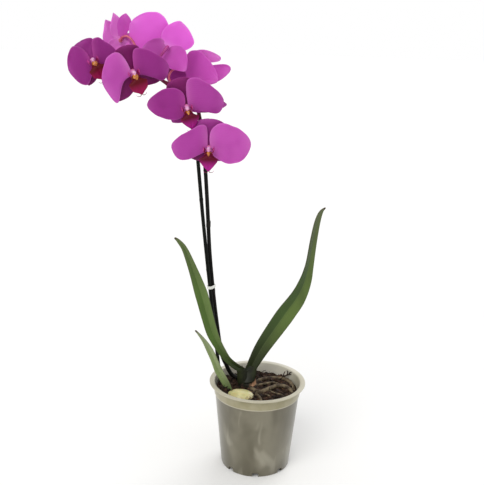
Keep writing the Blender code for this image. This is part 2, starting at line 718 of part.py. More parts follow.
def make_flowers(petal_material, lip_material, stalk_material):
    spike = smooth_rows(SPIKE_ROWS, 400)
    spike = np.hstack([spike, directions(spike[:, :3])])
    lengths = np.cumsum(np.linalg.norm(np.diff(spike[:, :3], axis=0), axis=1))
    for number, flower in enumerate(FLOWERS, start=1):
        frame = flower_frame(flower)
        for part, usual in BLADES.items():
            blade = dict(usual, **flower["blades"].get(part, {}))
            lift = PETAL_LIFT if part.startswith("petal") else SEPAL_LIFT
            columns = 6 if part.startswith("petal") else 4
            grid = blade_grid(frame, blade, lift, 6, columns)
            sheet(f"flower_{number}_{part}", grid, PETAL_THICKNESS, petal_material)
        sheet(f"flower_{number}_lip", lip_grid(frame, 8, 6), LIP_THICKNESS, lip_material)
        node = spike[np.searchsorted(lengths, flower["node"])]
        rows = smooth_rows(stalk_rows(frame, node, flower.get("via", [])), 16)
        add_object(f"flower_{number}_stalk", tube_mesh("stalk", rows, 8), stalk_material)


def main():
    clear_scene()
    pot_plastic = make_material("pot_plastic", (0.62, 0.61, 0.53), 0.35, alpha=0.55)
    bark = make_material("bark", (0.065, 0.035, 0.02), 0.9)
    root = make_material("root", (0.16, 0.12, 0.08), 0.7)
    leaf = make_material("leaf", (0.055, 0.11, 0.035), 0.45)
    stub = make_material("old_leaf", (0.72, 0.66, 0.38), 0.5)
    spike = make_material("spike", (0.012, 0.012, 0.010), 0.45)
    stake = make_material("stake", (0.008, 0.010, 0.008), 0.5)
    clip = make_material("clip", (0.85, 0.86, 0.84), 0.4)
    petal = make_material("petal", (0.42, 0.045, 0.33), 0.55)
    lip = make_material("lip", (0.20, 0.005, 0.05), 0.45)
    stalk = make_material("stalk", (0.60, 0.20, 0.32), 0.5)
    make_pot(pot_plastic)
    clearances = make_roots(root)
    stake_hole = make_stems(spike, stake, clip)
    make_bark(bark, clearances + [stake_hole])
    make_leaves(leaf, stub)
    make_flowers(petal, lip, stalk)


main()
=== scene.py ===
"""A moth orchid in its translucent nursery pot: the finished look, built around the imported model."""

import math

import bmesh
import bpy
import numpy as np
from mathutils import Matrix, Vector, noise


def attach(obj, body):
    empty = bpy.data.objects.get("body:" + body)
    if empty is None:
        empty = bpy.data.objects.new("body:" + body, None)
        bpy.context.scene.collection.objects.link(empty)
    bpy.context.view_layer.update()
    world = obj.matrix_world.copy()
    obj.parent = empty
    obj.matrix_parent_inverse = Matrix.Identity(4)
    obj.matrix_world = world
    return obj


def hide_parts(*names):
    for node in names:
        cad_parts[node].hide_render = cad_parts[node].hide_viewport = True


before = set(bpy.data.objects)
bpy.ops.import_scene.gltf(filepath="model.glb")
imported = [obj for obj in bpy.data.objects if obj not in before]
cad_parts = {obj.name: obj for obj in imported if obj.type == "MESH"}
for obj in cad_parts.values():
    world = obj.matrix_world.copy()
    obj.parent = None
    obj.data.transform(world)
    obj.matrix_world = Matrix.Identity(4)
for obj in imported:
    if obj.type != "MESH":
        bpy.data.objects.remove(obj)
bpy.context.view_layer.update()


# ---------------------------------------------------------------- room, lamps and camera
# The plant stands on a wide pale floor under an even white sky. One soft lamp shines from the front and
# above, from the left, and a weaker one behind lights the thin petals through. The camera stands just
# under a metre away, level with the upper flowers, and looks down on the pot.

scene = bpy.context.scene
scene.view_settings.view_transform = "Standard"

sky = bpy.data.worlds.new("white_sky")
sky.use_nodes = True
sky_nodes = sky.node_tree
seen = sky_nodes.nodes.new("ShaderNodeLightPath").outputs["Is Camera Ray"]
sky_strength = sky_nodes.nodes.new("ShaderNodeMapRange")
sky_strength.inputs["To Min"].default_value = 0.68
sky_strength.inputs["To Max"].default_value = 1.0
sky_nodes.links.new(seen, sky_strength.inputs["Value"])
sky_nodes.links.new(sky_strength.outputs[0], sky_nodes.nodes["Background"].inputs["Strength"])
sky_nodes.nodes["Background"].inputs["Color"].default_value = (1.0, 1.0, 1.0, 1.0)
scene.world = sky


def hang_lamp(name, place, aim, strength, softness, colour=(1.0, 1.0, 1.0)):
    """A far, soft lamp: an even light from one side, whose shadows are as soft as its width."""
    data = bpy.data.lights.new(name, "SUN")
    data.angle = math.radians(softness)
    data.energy = strength
    data.color = colour
    lamp = bpy.data.objects.new(name, data)
    lamp.location = place
    lamp.rotation_euler = (Vector(aim) - Vector(place)).to_track_quat("-Z", "Y").to_euler()
    scene.collection.objects.link(lamp)


hang_lamp("front_lamp", (-0.8, -1.4, 1.8), (-0.05, 0.0, 0.3), 1.25, 40.0, (1.0, 0.985, 0.96))
hang_lamp("back_lamp", (0.6, 1.3, 1.5), (-0.1, 0.0, 0.4), 0.9, 45.0)

floor_form = bmesh.new()
bmesh.ops.create_circle(floor_form, cap_ends=True, segments=96, radius=9.0)
floor_mesh = bpy.data.meshes.new("floor")
floor_form.to_mesh(floor_mesh)
floor_form.free()
floor_paint = bpy.data.materials.new("pale_floor")
floor_paint.use_nodes = True
floor_paint.node_tree.nodes["Principled BSDF"].inputs["Base Color"].default_value = (0.93, 0.93, 0.925, 1.0)
floor_paint.node_tree.nodes["Principled BSDF"].inputs["Roughness"].default_value = 0.9
floor_mesh.materials.append(floor_paint)
floor = bpy.data.objects.new("floor", floor_mesh)
scene.collection.objects.link(floor)

lens = bpy.data.cameras.new("camera")
lens.sensor_width = 36.0
lens.lens = 60.1
camera = bpy.data.objects.new("camera", lens)
CAMERA_PLACE = Vector((-0.0238, -0.927, 0.562))
CAMERA_PITCH = math.radians(16.33)
CAMERA_ROLL = math.radians(1.48)
level_right = Vector((1.0, 0.0, 0.0))
level_up = Vector((0.0, math.sin(CAMERA_PITCH), math.cos(CAMERA_PITCH)))
right = math.cos(CAMERA_ROLL) * level_right + math.sin(CAMERA_ROLL) * level_up
up = math.cos(CAMERA_ROLL) * level_up - math.sin(CAMERA_ROLL) * level_right
turn = Matrix((right, up, right.cross(up))).transposed()
camera.matrix_world = Matrix.Translation(CAMERA_PLACE) @ turn.to_4x4()
scene.collection.objects.link(camera)
scene.camera = camera


# ---------------------------------------------------------------- pot
# A tapered grower's pot, moulded in one piece from milky polypropylene about a millimetre thick. It has a
# rolled rim, a shallow collar above a step, a foot ring with eight notches, and drain holes in its floor.
# The bark and the pale roots against the wall show through as a blur, so the wall is drawn with them.

MM = 0.001


def tone(red, green, blue):
    """A screen colour, each part from 0 to 255, as the linear colour that a shader takes."""
    parts = [part / 255.0 for part in (red, green, blue)]
    return (*[part / 12.92 if part < 0.04 else ((part + 0.055) / 1.055) ** 2.4 for part in parts], 1.0)


def new_material(name, sockets):
    """A material and its node tree. The sockets are values of its main shader that hold everywhere."""
    made = bpy.data.materials.new(name)
    made.use_nodes = True
    shader = made.node_tree.nodes["Principled BSDF"]
    for socket, value in sockets.items():
        shader.inputs[socket].default_value = value
    return made, made.node_tree, shader


def add_node(tree, kind, sockets, **settings):
    """Adds a node to a tree, sets or links its sockets, and returns its outputs."""
    made = tree.nodes.new(kind)
    for setting, value in settings.items():
        setattr(made, setting, value)
    for socket, value in sockets.items():
        if isinstance(value, bpy.types.NodeSocket):
            tree.links.new(value, made.inputs[socket])
        else:
            made.inputs[socket].default_value = value
    return made.outputs


def mix(tree, share, first, second):
    """The first colour where the share is 0, and the second where it is 1."""
    return add_node(tree, "ShaderNodeMix", {0: share, 6: first, 7: second}, data_type="RGBA")[2]


def fade(tree, value, start, end, top=1.0):
    """Rises smoothly from 0 to top as the value goes from start to end."""
    sockets = {"Value": value, "From Min": start, "From Max": end, "To Min": 0.0, "To Max": top}
    return add_node(tree, "ShaderNodeMapRange", sockets, interpolation_type="SMOOTHSTEP")[0]


def combine(tree, way, first, second=0.0):
    """One sum on two values, such as ADD, MULTIPLY or MAXIMUM."""
    return add_node(tree, "ShaderNodeMath", {0: first, 1: second}, operation=way)[0]


def distance_from(tree, value, middle):
    """How far a value is from a middle one, to either side."""
    return combine(tree, "ABSOLUTE", combine(tree, "SUBTRACT", value, middle))


def grain(tree, place, scale, detail=3.0, distortion=0.0):
    """Natural unevenness over the piece, about 0.5 on average. A larger scale makes it finer."""
    sockets = {"Vector": place, "Scale": scale, "Detail": detail, "Distortion": distortion}
    return add_node(tree, "ShaderNodeTexNoise", sockets)[0]


def cloud(tree, place, scale, detail, start, end, top=1.0):
    """Soft patches: a share from 0 to top that rises as the grain goes from start to end."""
    return fade(tree, grain(tree, place, scale, detail), start, end, top)


def stretch(tree, place, x, y, z):
    """Scales a place along each axis. A share under 1 draws a pattern out along that axis."""
    return add_node(tree, "ShaderNodeMapping", {"Vector": place, "Scale": (x, y, z)})[0]


def upright_grain(tree, place, share, scale, detail=3.0, distortion=0.0):
    """Grain drawn out along Z, as in stems and fibres."""
    return grain(tree, stretch(tree, place, 1.0, 1.0, share), scale, detail, distortion)


def relief(tree, shader, height, strength, depth_mm):
    """Roughens the surface by a height pattern."""
    sockets = {"Height": height, "Strength": strength, "Distance": depth_mm * MM}
    tree.links.new(add_node(tree, "ShaderNodeBump", sockets)[0], shader.inputs["Normal"])


def paint(tree, shader, colour):
    tree.links.new(colour, shader.inputs["Base Color"])


def object_place(tree):
    return add_node(tree, "ShaderNodeTexCoord", {})["Object"]


def along_axis(tree, place, axis):
    """How far a place lies along X, Y or Z."""
    return add_node(tree, "ShaderNodeSeparateXYZ", {"Vector": place})[axis]


def finish_piece(name, mesh, material, nodes=(), sharp=None):
    """Puts a finished mesh in the scene as a piece that rides on the plant and may stand for CAD nodes."""
    mesh.materials.clear()
    mesh.materials.append(material)
    mesh.shade_smooth()
    if sharp:
        mesh.set_sharp_from_angle(angle=math.radians(sharp))
    made = bpy.data.objects.new(name, mesh)
    scene.collection.objects.link(made)
    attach(made, "root")
    if nodes:
        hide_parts(*nodes)


# Sizes in millimetres, from the pot's foot up.
POT_HEIGHT = 111.0
RIM_RADIUS = 60.0
COLLAR_RADIUS = 54.2
COLLAR_BASE_Z = 96.0
WALL_TOP_RADIUS = 52.6
FOOT_RADIUS = 43.2
WALL = 1.1
FLOOR_Z = 4.2
BOSS_RADIUS = 9.0
NOTCH_COUNT = 8
NOTCH_SIZE = (7.6, 5.2)
NOTCH_REACH = 8
DRAIN_RADIUS = 2.6
DRAIN_CIRCLE = 26.0
BARK_TOP_Z = 97.0


def pot_wall_radius(height):
    """Outer radius of the tapered wall at a height."""
    return FOOT_RADIUS + (WALL_TOP_RADIUS - FOOT_RADIUS) * height / COLLAR_BASE_Z


def rounded(profile, radius, steps=4):
    """Rounds each corner of a profile of radius and height, but not its two ends."""
    result = [profile[0]]
    for before, corner, after in zip(profile, profile[1:], profile[2:]):
        before, corner, after = Vector(before), Vector(corner), Vector(after)
        start = corner + (before - corner) * min(radius / (before - corner).length, 0.45)
        end = corner + (after - corner) * min(radius / (after - corner).length, 0.45)
        for step in range(steps + 1):
            t = step / steps
            result.append(tuple(start * (1 - t) ** 2 + corner * 2 * t * (1 - t) + end * t**2))
    result.append(profile[-1])
    return result


def turned_mesh(name, profile, sides):
    """Turns a profile that starts and ends on the axis about Z, in millimetres, into a closed shell."""
    form = bmesh.new()
    rings = []
    for radius, height in profile:
        if radius < 1e-6:
            rings.append([form.verts.new((0.0, 0.0, height * MM))])
            continue
        angles = [math.tau * side / sides for side in range(sides)]
        places = [Vector((radius * math.cos(angle), radius * math.sin(angle), height)) for angle in angles]
        rings.append([form.verts.new(place * MM) for place in places])
    for lower, upper in zip(rings, rings[1:]):
        for side in range(sides):
            after = (side + 1) % sides
            corners = [lower[side % len(lower)], lower[after % len(lower)]]
            corners += [upper[after % len(upper)], upper[side % len(upper)]]
            form.faces.new(list(dict.fromkeys(corners)))
    bmesh.ops.recalc_face_normals(form, faces=form.faces)
    mesh = bpy.data.meshes.new(name)
    form.to_mesh(mesh)
    form.free()
    return mesh


pot_profile = [
    (0.0, 0.0),
    (BOSS_RADIUS, 0.0),
    (BOSS_RADIUS + 1.5, FLOOR_Z),
    (17.0, FLOOR_Z),
    (17.6, FLOOR_Z - 0.5),
    (18.6, FLOOR_Z - 0.5),
    (19.2, FLOOR_Z),
    (FOOT_RADIUS - 3.6, FLOOR_Z),
    (FOOT_RADIUS - 2.6, 0.0),
    (FOOT_RADIUS - 0.5, 0.0),
    (pot_wall_radius(0.7), 0.7),
    (WALL_TOP_RADIUS, COLLAR_BASE_Z - 0.8),
    (COLLAR_RADIUS - 0.6, COLLAR_BASE_Z),
    (COLLAR_RADIUS, POT_HEIGHT - 2.4),
    (COLLAR_RADIUS + 0.7, POT_HEIGHT - 1.4),
    (RIM_RADIUS - 0.5, POT_HEIGHT - 1.5),
    (RIM_RADIUS, POT_HEIGHT - 0.9),
    (RIM_RADIUS - 0.4, POT_HEIGHT - 0.1),
    (COLLAR_RADIUS + 0.8, POT_HEIGHT),
    (COLLAR_RADIUS - 0.6, POT_HEIGHT - 0.5),
    (COLLAR_RADIUS - WALL, POT_HEIGHT - 2.0),
    (COLLAR_RADIUS - 0.6 - WALL, COLLAR_BASE_Z + 0.4),
    (WALL_TOP_RADIUS - WALL, COLLAR_BASE_Z - 1.2),
    (pot_wall_radius(FLOOR_Z + 3.0) - WALL, FLOOR_Z + 3.0),
    (pot_wall_radius(FLOOR_Z + WALL) - WALL - 1.6, FLOOR_Z + WALL),
    (BOSS_RADIUS + 0.9, FLOOR_Z + WALL),
    (BOSS_RADIUS - 0.6, WALL),
    (0.0, WALL),
]
pot_blank = bpy.data.objects.new("pot_blank", turned_mesh("pot_blank", rounded(pot_profile, 0.7), 200))
scene.collection.objects.link(pot_blank)

drainage_form = bmesh.new()
width, height = NOTCH_SIZE
for number in range(NOTCH_COUNT):
    turn = Matrix.Rotation(math.tau * (number - 2) / NOTCH_COUNT, 4, "Z")
    size = Matrix.Diagonal((NOTCH_REACH * MM, width * MM, 2 * height * MM, 1.0))
    place = turn @ Matrix.Translation((FOOT_RADIUS * MM, 0.0, 0.0)) @ size
    bmesh.ops.create_cube(drainage_form, size=1.0, matrix=place)
level_edges = [edge for edge in drainage_form.edges if abs((edge.verts[0].co - edge.verts[1].co).z) < 1e-6]
across_wall = [edge for edge in level_edges if edge.calc_length() > (NOTCH_REACH - 0.2) * MM]
bmesh.ops.bevel(drainage_form, geom=across_wall, offset=1.2 * MM, segments=5, profile=0.5, affect="EDGES")
for number in range(NOTCH_COUNT):
    turn = Matrix.Rotation(math.tau * (number - 1.5) / NOTCH_COUNT, 4, "Z")
    place = turn @ Matrix.Translation((DRAIN_CIRCLE * MM, 0.0, FLOOR_Z * MM))
    hole = dict(radius1=DRAIN_RADIUS * MM, radius2=DRAIN_RADIUS * MM, depth=6 * MM)
    bmesh.ops.create_cone(drainage_form, cap_ends=True, segments=32, matrix=place, **hole)
drainage_mesh = bpy.data.meshes.new("drainage")
drainage_form.to_mesh(drainage_mesh)
drainage_form.free()
drainage = bpy.data.objects.new("drainage", drainage_mesh)
scene.collection.objects.link(drainage)
cut = pot_blank.modifiers.new("Drainage", "BOOLEAN")
cut.object = drainage
cut.solver = "EXACT"


def baked_mesh(source, name):
    """The source object's mesh with its modifiers applied. The source is removed."""
    scene_now = bpy.context.evaluated_depsgraph_get()
    mesh = bpy.data.meshes.new_from_object(source.evaluated_get(scene_now))
    mesh.name = name
    bpy.data.objects.remove(source, do_unlink=True)
    return mesh


pot_mesh = baked_mesh(pot_blank, "pot_shell")
bpy.data.objects.remove(drainage, do_unlink=True)

milky, tree, shader = new_material(
    "milky_plastic",
    {
        "Roughness": 0.36,
        "IOR": 1.49,
        "Transmission Weight": 0.12,
        "Specular IOR Level": 0.35,
        "Sheen Weight": 0.3,
        "Sheen Roughness": 0.45,
    },
)
place = object_place(tree)
height = along_axis(tree, place, "Z")
patches = upright_grain(tree, place, 0.6, 30.0, 2.0, 0.3)
contents = mix(tree, fade(tree, patches, 0.34, 0.68), tone(100, 95, 77), tone(128, 123, 105))
blurred_roots = upright_grain(tree, place, 0.4, 62.0, 1.5, 0.5)
contents = mix(tree, fade(tree, blurred_roots, 0.54, 0.76, 0.6), contents, tone(168, 163, 146))
contents = mix(tree, cloud(tree, place, 90.0, 2.0, 0.56, 0.78, 0.2), contents, tone(106, 101, 84))
contents = mix(tree, fade(tree, height, 0.026, 0.0, 0.4), contents, tone(94, 89, 74))
empty = mix(tree, cloud(tree, place, 60.0, 3.0, 0.3, 0.7), tone(168, 161, 132), tone(152, 145, 112))
# Painted light: above the bark, the wall is painted lighter towards the back, where light comes through the
# thin plastic.
painted_light_depth = along_axis(tree, place, "Y")
empty = mix(tree, fade(tree, painted_light_depth, 0.0, 0.05, 0.95), empty, tone(236, 232, 218))
filled = fade(tree, height, 0.0985, 0.0935)
wall_colour = mix(tree, filled, empty, contents)
# Painted highlights: a thin bright line along the step below the collar, and a lighter band over the top of
# the rim.
off_step = distance_from(tree, height, 0.0962)
wall_colour = mix(tree, fade(tree, off_step, 0.0011, 0.0003, 0.55), wall_colour, tone(214, 207, 182))
wall_colour = mix(tree, fade(tree, height, 0.1082, 0.1096, 0.6), wall_colour, tone(208, 203, 184))
paint(tree, shader, wall_colour)
fine = upright_grain(tree, place, 0.25, 700.0, 2.0)
relief(tree, shader, combine(tree, "ADD", fine, combine(tree, "MULTIPLY", patches, 4.0)), 0.25, 0.25)
finish_piece("pot_shell", pot_mesh, milky, ["pot"], sharp=38)


# ---------------------------------------------------------------- stem and aerial roots
# The short dark stem that the leaves grow from, with a tan scar at its right, and the thick grey-brown
# aerial roots and thinner rootlets that loop over the bark and dive into it beside the wall.


def smooth_rows(rows, count):
    """Reads count rows at even steps of a smooth curve that runs through all the given rows."""
    given = np.array(rows, float)
    padded = np.vstack([2 * given[0] - given[1], given, 2 * given[-1] - given[-2]])
    result = []
    for step in np.linspace(0.0, len(given) - 1.0, count):
        first = min(int(step), len(given) - 2)
        part = step - first
        before, start, end, after = padded[first : first + 4]
        slope = (end - before) * part
        square = (2 * before - 5 * start + 4 * end - after) * part**2
        cube = (3 * start - before - 3 * end + after) * part**3
        result.append(start + 0.5 * (slope + square + cube))
    return np.array(result)


def directions(points):
    """The unit direction of travel at each point of a path."""
    steps = np.gradient(points, axis=0)
    return steps / np.linalg.norm(steps, axis=1)[:, None]


def tube_part(rows, sides, lumps=0.0, lump_length=6.0):
    """Points, faces and UVs of a tube with round ends along rows of x, y, z and radius in millimetres."""
    points, radii = rows[:, :3], rows[:, 3]
    ahead = directions(points)
    rings = [(points[0] - ahead[0] * radii[0] * 0.5, radii[0] * 0.7, ahead[0], 0.0)]
    shares = np.linspace(0.0, 1.0, len(rows))
    rings += list(zip(points, radii, ahead, shares))
    rings.append((points[-1] + ahead[-1] * radii[-1] * 0.5, radii[-1] * 0.7, ahead[-1], 1.0))
    across = Vector(ahead[0]).orthogonal().normalized()
    verts, faces, uvs = [], [], []
    for point, radius, forward, share in rings:
        forward = Vector(forward)
        across = (across - across.dot(forward) * forward).normalized()
        other = forward.cross(across)
        for side in range(sides):
            angle = math.tau * side / sides
            spot = Vector(point) + (math.cos(angle) * across + math.sin(angle) * other) * radius
            swell = 1.0 + lumps * noise.noise(spot / lump_length)
            verts.append(Vector(point) + (spot - Vector(point)) * swell)
            uvs.append((side / sides, share))
    for ring in range(len(rings) - 1):
        for side in range(sides):
            after = (side + 1) % sides
            low, high = ring * sides, (ring + 1) * sides
            faces.append((low + side, low + after, high + after, high + side))
    for centre, outwards, start, flip in (
        (points[0], -ahead[0] * radii[0], 0, True),
        (points[-1], ahead[-1] * radii[-1], (len(rings) - 1) * sides, False),
    ):
        verts.append(Vector(centre + outwards))
        uvs.append((0.5, 0.0 if flip else 1.0))
        for side in range(sides):
            corners = (start + side, start + (side + 1) % sides, len(verts) - 1)
            faces.append(corners[::-1] if flip else corners)
    return verts, faces, uvs


def mesh_of(name, parts):
    """One mesh from several closed parts, each given as points in millimetres, faces and UVs."""
    verts, faces, uvs = [], [], []
    for part_verts, part_faces, part_uvs in parts:
        start = len(verts)
        verts += [Vector(point) * MM for point in part_verts]
        faces += [tuple(start + corner for corner in face) for face in part_faces]
        uvs += part_uvs
    mesh = bpy.data.meshes.new(name)
    mesh.from_pydata(verts, [], faces)
    layer = mesh.uv_layers.new(name="surface")
    corners = np.empty(len(mesh.loops), np.int32)
    mesh.loops.foreach_get("vertex_index", corners)
    layer.data.foreach_set("uv", np.array(uvs, np.float32)[corners].ravel())
    mesh.update()
    return mesh


# Rows of x, y, z and radius along the stem, the roots and the rootlets.
STEM_ROWS = [
    (-12, 12, 84, 6),
    (-12.5, 12.5, 92, 9),
    (-13, 13, 100, 9),
    (-13, 13, 107.5, 6),
]
ROOT_ROWS = [
    [
        (-9, 8, 97, 2.6),
        (-3, -5, 99, 2.6),
        (4, -11, 100.5, 2.7),
        (12, -6, 101, 2.7),
        (24, 5, 101, 2.6),
        (35, 6, 100.5, 2.5),
        (43, -3, 98.5, 2.4),
        (43.5, -12, 93, 2.2),
        (41, -18, 86, 1.8),
    ],
    [
        (-6, 16, 98, 2.4),
        (8, 27, 99.5, 2.4),
        (24, 31, 99.8, 2.3),
        (38, 26, 100, 2.3),
        (45, 12, 99, 2.2),
        (46, 1, 94.5, 2.1),
        (43, -4, 87, 1.7),
    ],
    [
        (-9, 4, 95, 2),
        (-2, -13, 98.5, 1.8),
        (3, -24, 99, 1.8),
        (6, -34, 95.5, 1.6),
        (7, -38, 88, 1.3),
    ],
    [
        (-16, 18, 97, 2.2),
        (-20, 31, 98.5, 2.1),
        (-23, 38, 93, 1.9),
        (-24, 39.5, 84, 1.5),
    ],
]
ROOTLET_ROWS = [
    [(14, -5, 100, 1.3), (22, -12, 99.6, 1.2), (31, -15, 98.6, 1.1), (38, -24, 94, 0.8)],
    [(-4, 9, 99, 1.5), (8, 9, 101.2, 1.5), (20, 15, 101, 1.4), (30, 16, 98, 1.1)],
    [(6, -12, 99, 1.0), (15, -19, 99, 1.0), (20, -29, 97.5, 0.9), (27, -36, 93, 0.7)],
]

root_parts = [tube_part(smooth_rows(rows, 110), 20, 0.16, 5.0) for rows in ROOT_ROWS]
root_parts += [tube_part(smooth_rows(rows, 60), 14, 0.2, 4.0) for rows in ROOTLET_ROWS]

root_skin, tree, shader = new_material("root_skin", {"Roughness": 0.72, "Specular IOR Level": 0.35})
place = object_place(tree)
blotches = grain(tree, place, 160.0, 5.0, 0.4)
skin = mix(tree, fade(tree, blotches, 0.34, 0.62), tone(60, 49, 35), tone(118, 104, 80))
skin = mix(tree, cloud(tree, place, 300.0, 2.0, 0.56, 0.8, 0.5), skin, tone(144, 131, 104))
skin = mix(tree, cloud(tree, place, 45.0, 2.0, 0.54, 0.7, 0.55), skin, tone(58, 40, 26))
paint(tree, shader, skin)
relief(tree, shader, grain(tree, place, 1100.0, 4.0), 0.6, 0.35)
finish_piece("aerial_roots", mesh_of("aerial_roots", root_parts), root_skin, ["root_crown"])

stem_skin, tree, shader = new_material("stem_skin", {"Roughness": 0.62})
place = object_place(tree)
height = along_axis(tree, place, "Z")
rightward = along_axis(tree, place, "X")
cover = mix(tree, cloud(tree, place, 90.0, 4.0, 0.35, 0.65), tone(30, 27, 17), tone(62, 58, 36))
scar = combine(tree, "MULTIPLY", fade(tree, rightward, -0.011, -0.006, 0.9), fade(tree, height, 0.107, 0.103))
cover = mix(tree, scar, cover, tone(178, 132, 96))
fibres = upright_grain(tree, place, 0.1, 900.0)
cover = mix(tree, fade(tree, fibres, 0.5, 0.7, 0.4), cover, tone(60, 42, 28))
paint(tree, shader, cover)
relief(tree, shader, upright_grain(tree, place, 0.15, 500.0, 4.0), 0.5, 0.6)
stem = tube_part(smooth_rows(STEM_ROWS, 60), 40, 0.12, 7.0)
finish_piece("short_stem", mesh_of("short_stem", [stem]), stem_skin)


# ---------------------------------------------------------------- bark
# The pot is filled with composted bark: a dark, damp bulk, chips of broken bark up to a centimetre long
# lying loose on it, crumbs between them, coarse fibres that stick out, and one forked twig by the wall.


def bark_height(x, y):
    """Height of the bark's top: a gentle swell to the back, a bank at the left and small lumps."""
    bank = min(max((-x - 30.0) / 14.0, 0.0), 1.0)
    swell = 1.5 * y / WALL_TOP_RADIUS + 5.0 * bank**2 * (3.0 - 2.0 * bank)
    lumps = math.sin(0.31 * x + 0.9) * math.cos(0.27 * y - 0.4) + 0.6 * math.sin(0.17 * x - 0.45 * y)
    return BARK_TOP_Z + swell + 1.4 * lumps


def bark_disc(radius, rings, sides, lift=0.0, keep=None):
    """Points and faces of the bark's top as a disc, less the faces whose middle isn't to be kept."""
    verts = [Vector((0.0, 0.0, bark_height(0.0, 0.0) + lift))]
    for ring in range(1, rings + 1):
        for side in range(sides):
            angle = math.tau * side / sides
            x = radius * ring / rings * math.cos(angle)
            y = radius * ring / rings * math.sin(angle)
            rough = 0.7 * noise.noise(Vector((x, y, 0.0)) / 3.0)
            verts.append(Vector((x, y, bark_height(x, y) + lift + rough)))
    faces = []
    for side in range(sides):
        faces.append((0, 1 + side, 1 + (side + 1) % sides))
    for ring in range(rings - 1):
        for side in range(sides):
            after = (side + 1) % sides
            low, high = 1 + ring * sides, 1 + (ring + 1) * sides
            faces.append((low + side, high + side, high + after, low + after))
    if keep:
        middles = [sum((verts[corner] for corner in face), Vector()) / len(face) for face in faces]
        faces = [face for face, middle in zip(faces, middles) if keep(middle)]
    return verts, faces


BARK_SIDES = 128
BARK_GAP = 0.4
bark_verts, bark_faces = bark_disc(pot_wall_radius(91.0) - WALL - BARK_GAP, 34, BARK_SIDES)
for height, radius in (
    (90.5, pot_wall_radius(90.5) - WALL - BARK_GAP),
    (7.5, pot_wall_radius(7.0) - WALL - BARK_GAP),
    (5.7, pot_wall_radius(5.0) - WALL - BARK_GAP - 1.8),
):
    high = len(bark_verts) - BARK_SIDES
    low = len(bark_verts)
    for side in range(BARK_SIDES):
        angle = math.tau * side / BARK_SIDES
        bark_verts.append(Vector((radius * math.cos(angle), radius * math.sin(angle), height)))
        after = (side + 1) % BARK_SIDES
        bark_faces.append((high + side, low + side, low + after, high + after))
bark_faces.append(tuple(range(len(bark_verts) - BARK_SIDES, len(bark_verts)))[::-1])
bulk_mesh = bpy.data.meshes.new("bark_bulk")
bulk_mesh.from_pydata([point * MM for point in bark_verts], [], bark_faces)

damp_bark, tree, shader = new_material("damp_bark", {"Roughness": 0.85, "Specular IOR Level": 0.25})
place = object_place(tree)
soil = mix(tree, cloud(tree, place, 240.0, 5.0, 0.35, 0.65), tone(20, 13, 8), tone(58, 38, 24))
paint(tree, shader, soil)
relief(tree, shader, grain(tree, place, 500.0, 6.0), 0.9, 1.2)
finish_piece("bark_bulk", bulk_mesh, damp_bark, ["bark_mix"])

scatter_tree = bpy.data.node_groups.new("scattered_bark", "GeometryNodeTree")
for kind, labels in (
    ("Geometry", ("Ground",)),
    ("Float", ("Spacing", "Length", "Width", "Thickness", "Tilt", "Raggedness", "Rag Scale", "Lift")),
    ("Int", ("Seed", "Steps Along", "Steps Across")),
    ("Material", ("Finish",)),
):
    for label in labels:
        scatter_tree.interface.new_socket(label, in_out="INPUT", socket_type=f"NodeSocket{kind}")
scatter_tree.interface.new_socket("Pieces", in_out="OUTPUT", socket_type="NodeSocketGeometry")
given = add_node(scatter_tree, "NodeGroupInput", {})


def scatter_step(kind, sockets, **settings):
    """Adds one node to the scattering tree and returns its first output."""
    return add_node(scatter_tree, kind, sockets, **settings)[0]


def scatter_vector(x, y, z):
    return scatter_step("ShaderNodeCombineXYZ", {"X": x, "Y": y, "Z": z})


spread = {"Mesh": given["Ground"], "Distance Min": given["Spacing"], "Seed": given["Seed"]}
spread["Density Max"] = 400000.0
spots = scatter_step("GeometryNodeDistributePointsOnFaces", spread, distribute_method="POISSON")
upward = scatter_vector(0.0, 0.0, given["Lift"])
spots = scatter_step("GeometryNodeSetPosition", {"Geometry": spots, "Offset": upward})
grid_steps = {"Vertices X": given["Steps Along"], "Vertices Y": given["Steps Across"], "Vertices Z": 2}
block_size = scatter_vector(given["Length"], given["Width"], given["Thickness"])
block = scatter_step("GeometryNodeMeshCube", {"Size": block_size, **grid_steps})
least_tilt = scatter_step("ShaderNodeMath", {0: given["Tilt"], 1: -1.0}, operation="MULTIPLY")
turn_range = {
    0: scatter_vector(least_tilt, least_tilt, 0.0),
    1: scatter_vector(given["Tilt"], given["Tilt"], math.tau),
    8: given["Seed"],
}
turns = scatter_step("FunctionNodeRandomValue", turn_range, data_type="FLOAT_VECTOR")
other_seed = scatter_step("ShaderNodeMath", {0: given["Seed"], 1: 7.0}, operation="ADD")
size_range = {0: (0.45, 0.5, 0.5), 1: (1.2, 1.2, 1.3), 8: other_seed}
sizes = scatter_step("FunctionNodeRandomValue", size_range, data_type="FLOAT_VECTOR")
blocks = {"Points": spots, "Instance": block, "Rotation": turns, "Scale": sizes}
pieces = scatter_step("GeometryNodeInstanceOnPoints", blocks)
pieces = scatter_step("GeometryNodeRealizeInstances", {"Geometry": pieces})
where = scatter_step("GeometryNodeInputPosition", {})
rags = {"Vector": where, "Scale": given["Rag Scale"], "Detail": 1.0}
wobble = add_node(scatter_tree, "ShaderNodeTexNoise", rags)["Color"]
wobble = scatter_step("ShaderNodeVectorMath", {0: wobble, 1: (0.5, 0.5, 0.5)}, operation="SUBTRACT")
wobble = scatter_step("ShaderNodeVectorMath", {0: wobble, "Scale": given["Raggedness"]}, operation="SCALE")
pieces = scatter_step("GeometryNodeSetPosition", {"Geometry": pieces, "Offset": wobble})
pieces = scatter_step("GeometryNodeSetMaterial", {"Geometry": pieces, "Material": given["Finish"]})
add_node(scatter_tree, "NodeGroupOutput", {"Pieces": pieces})


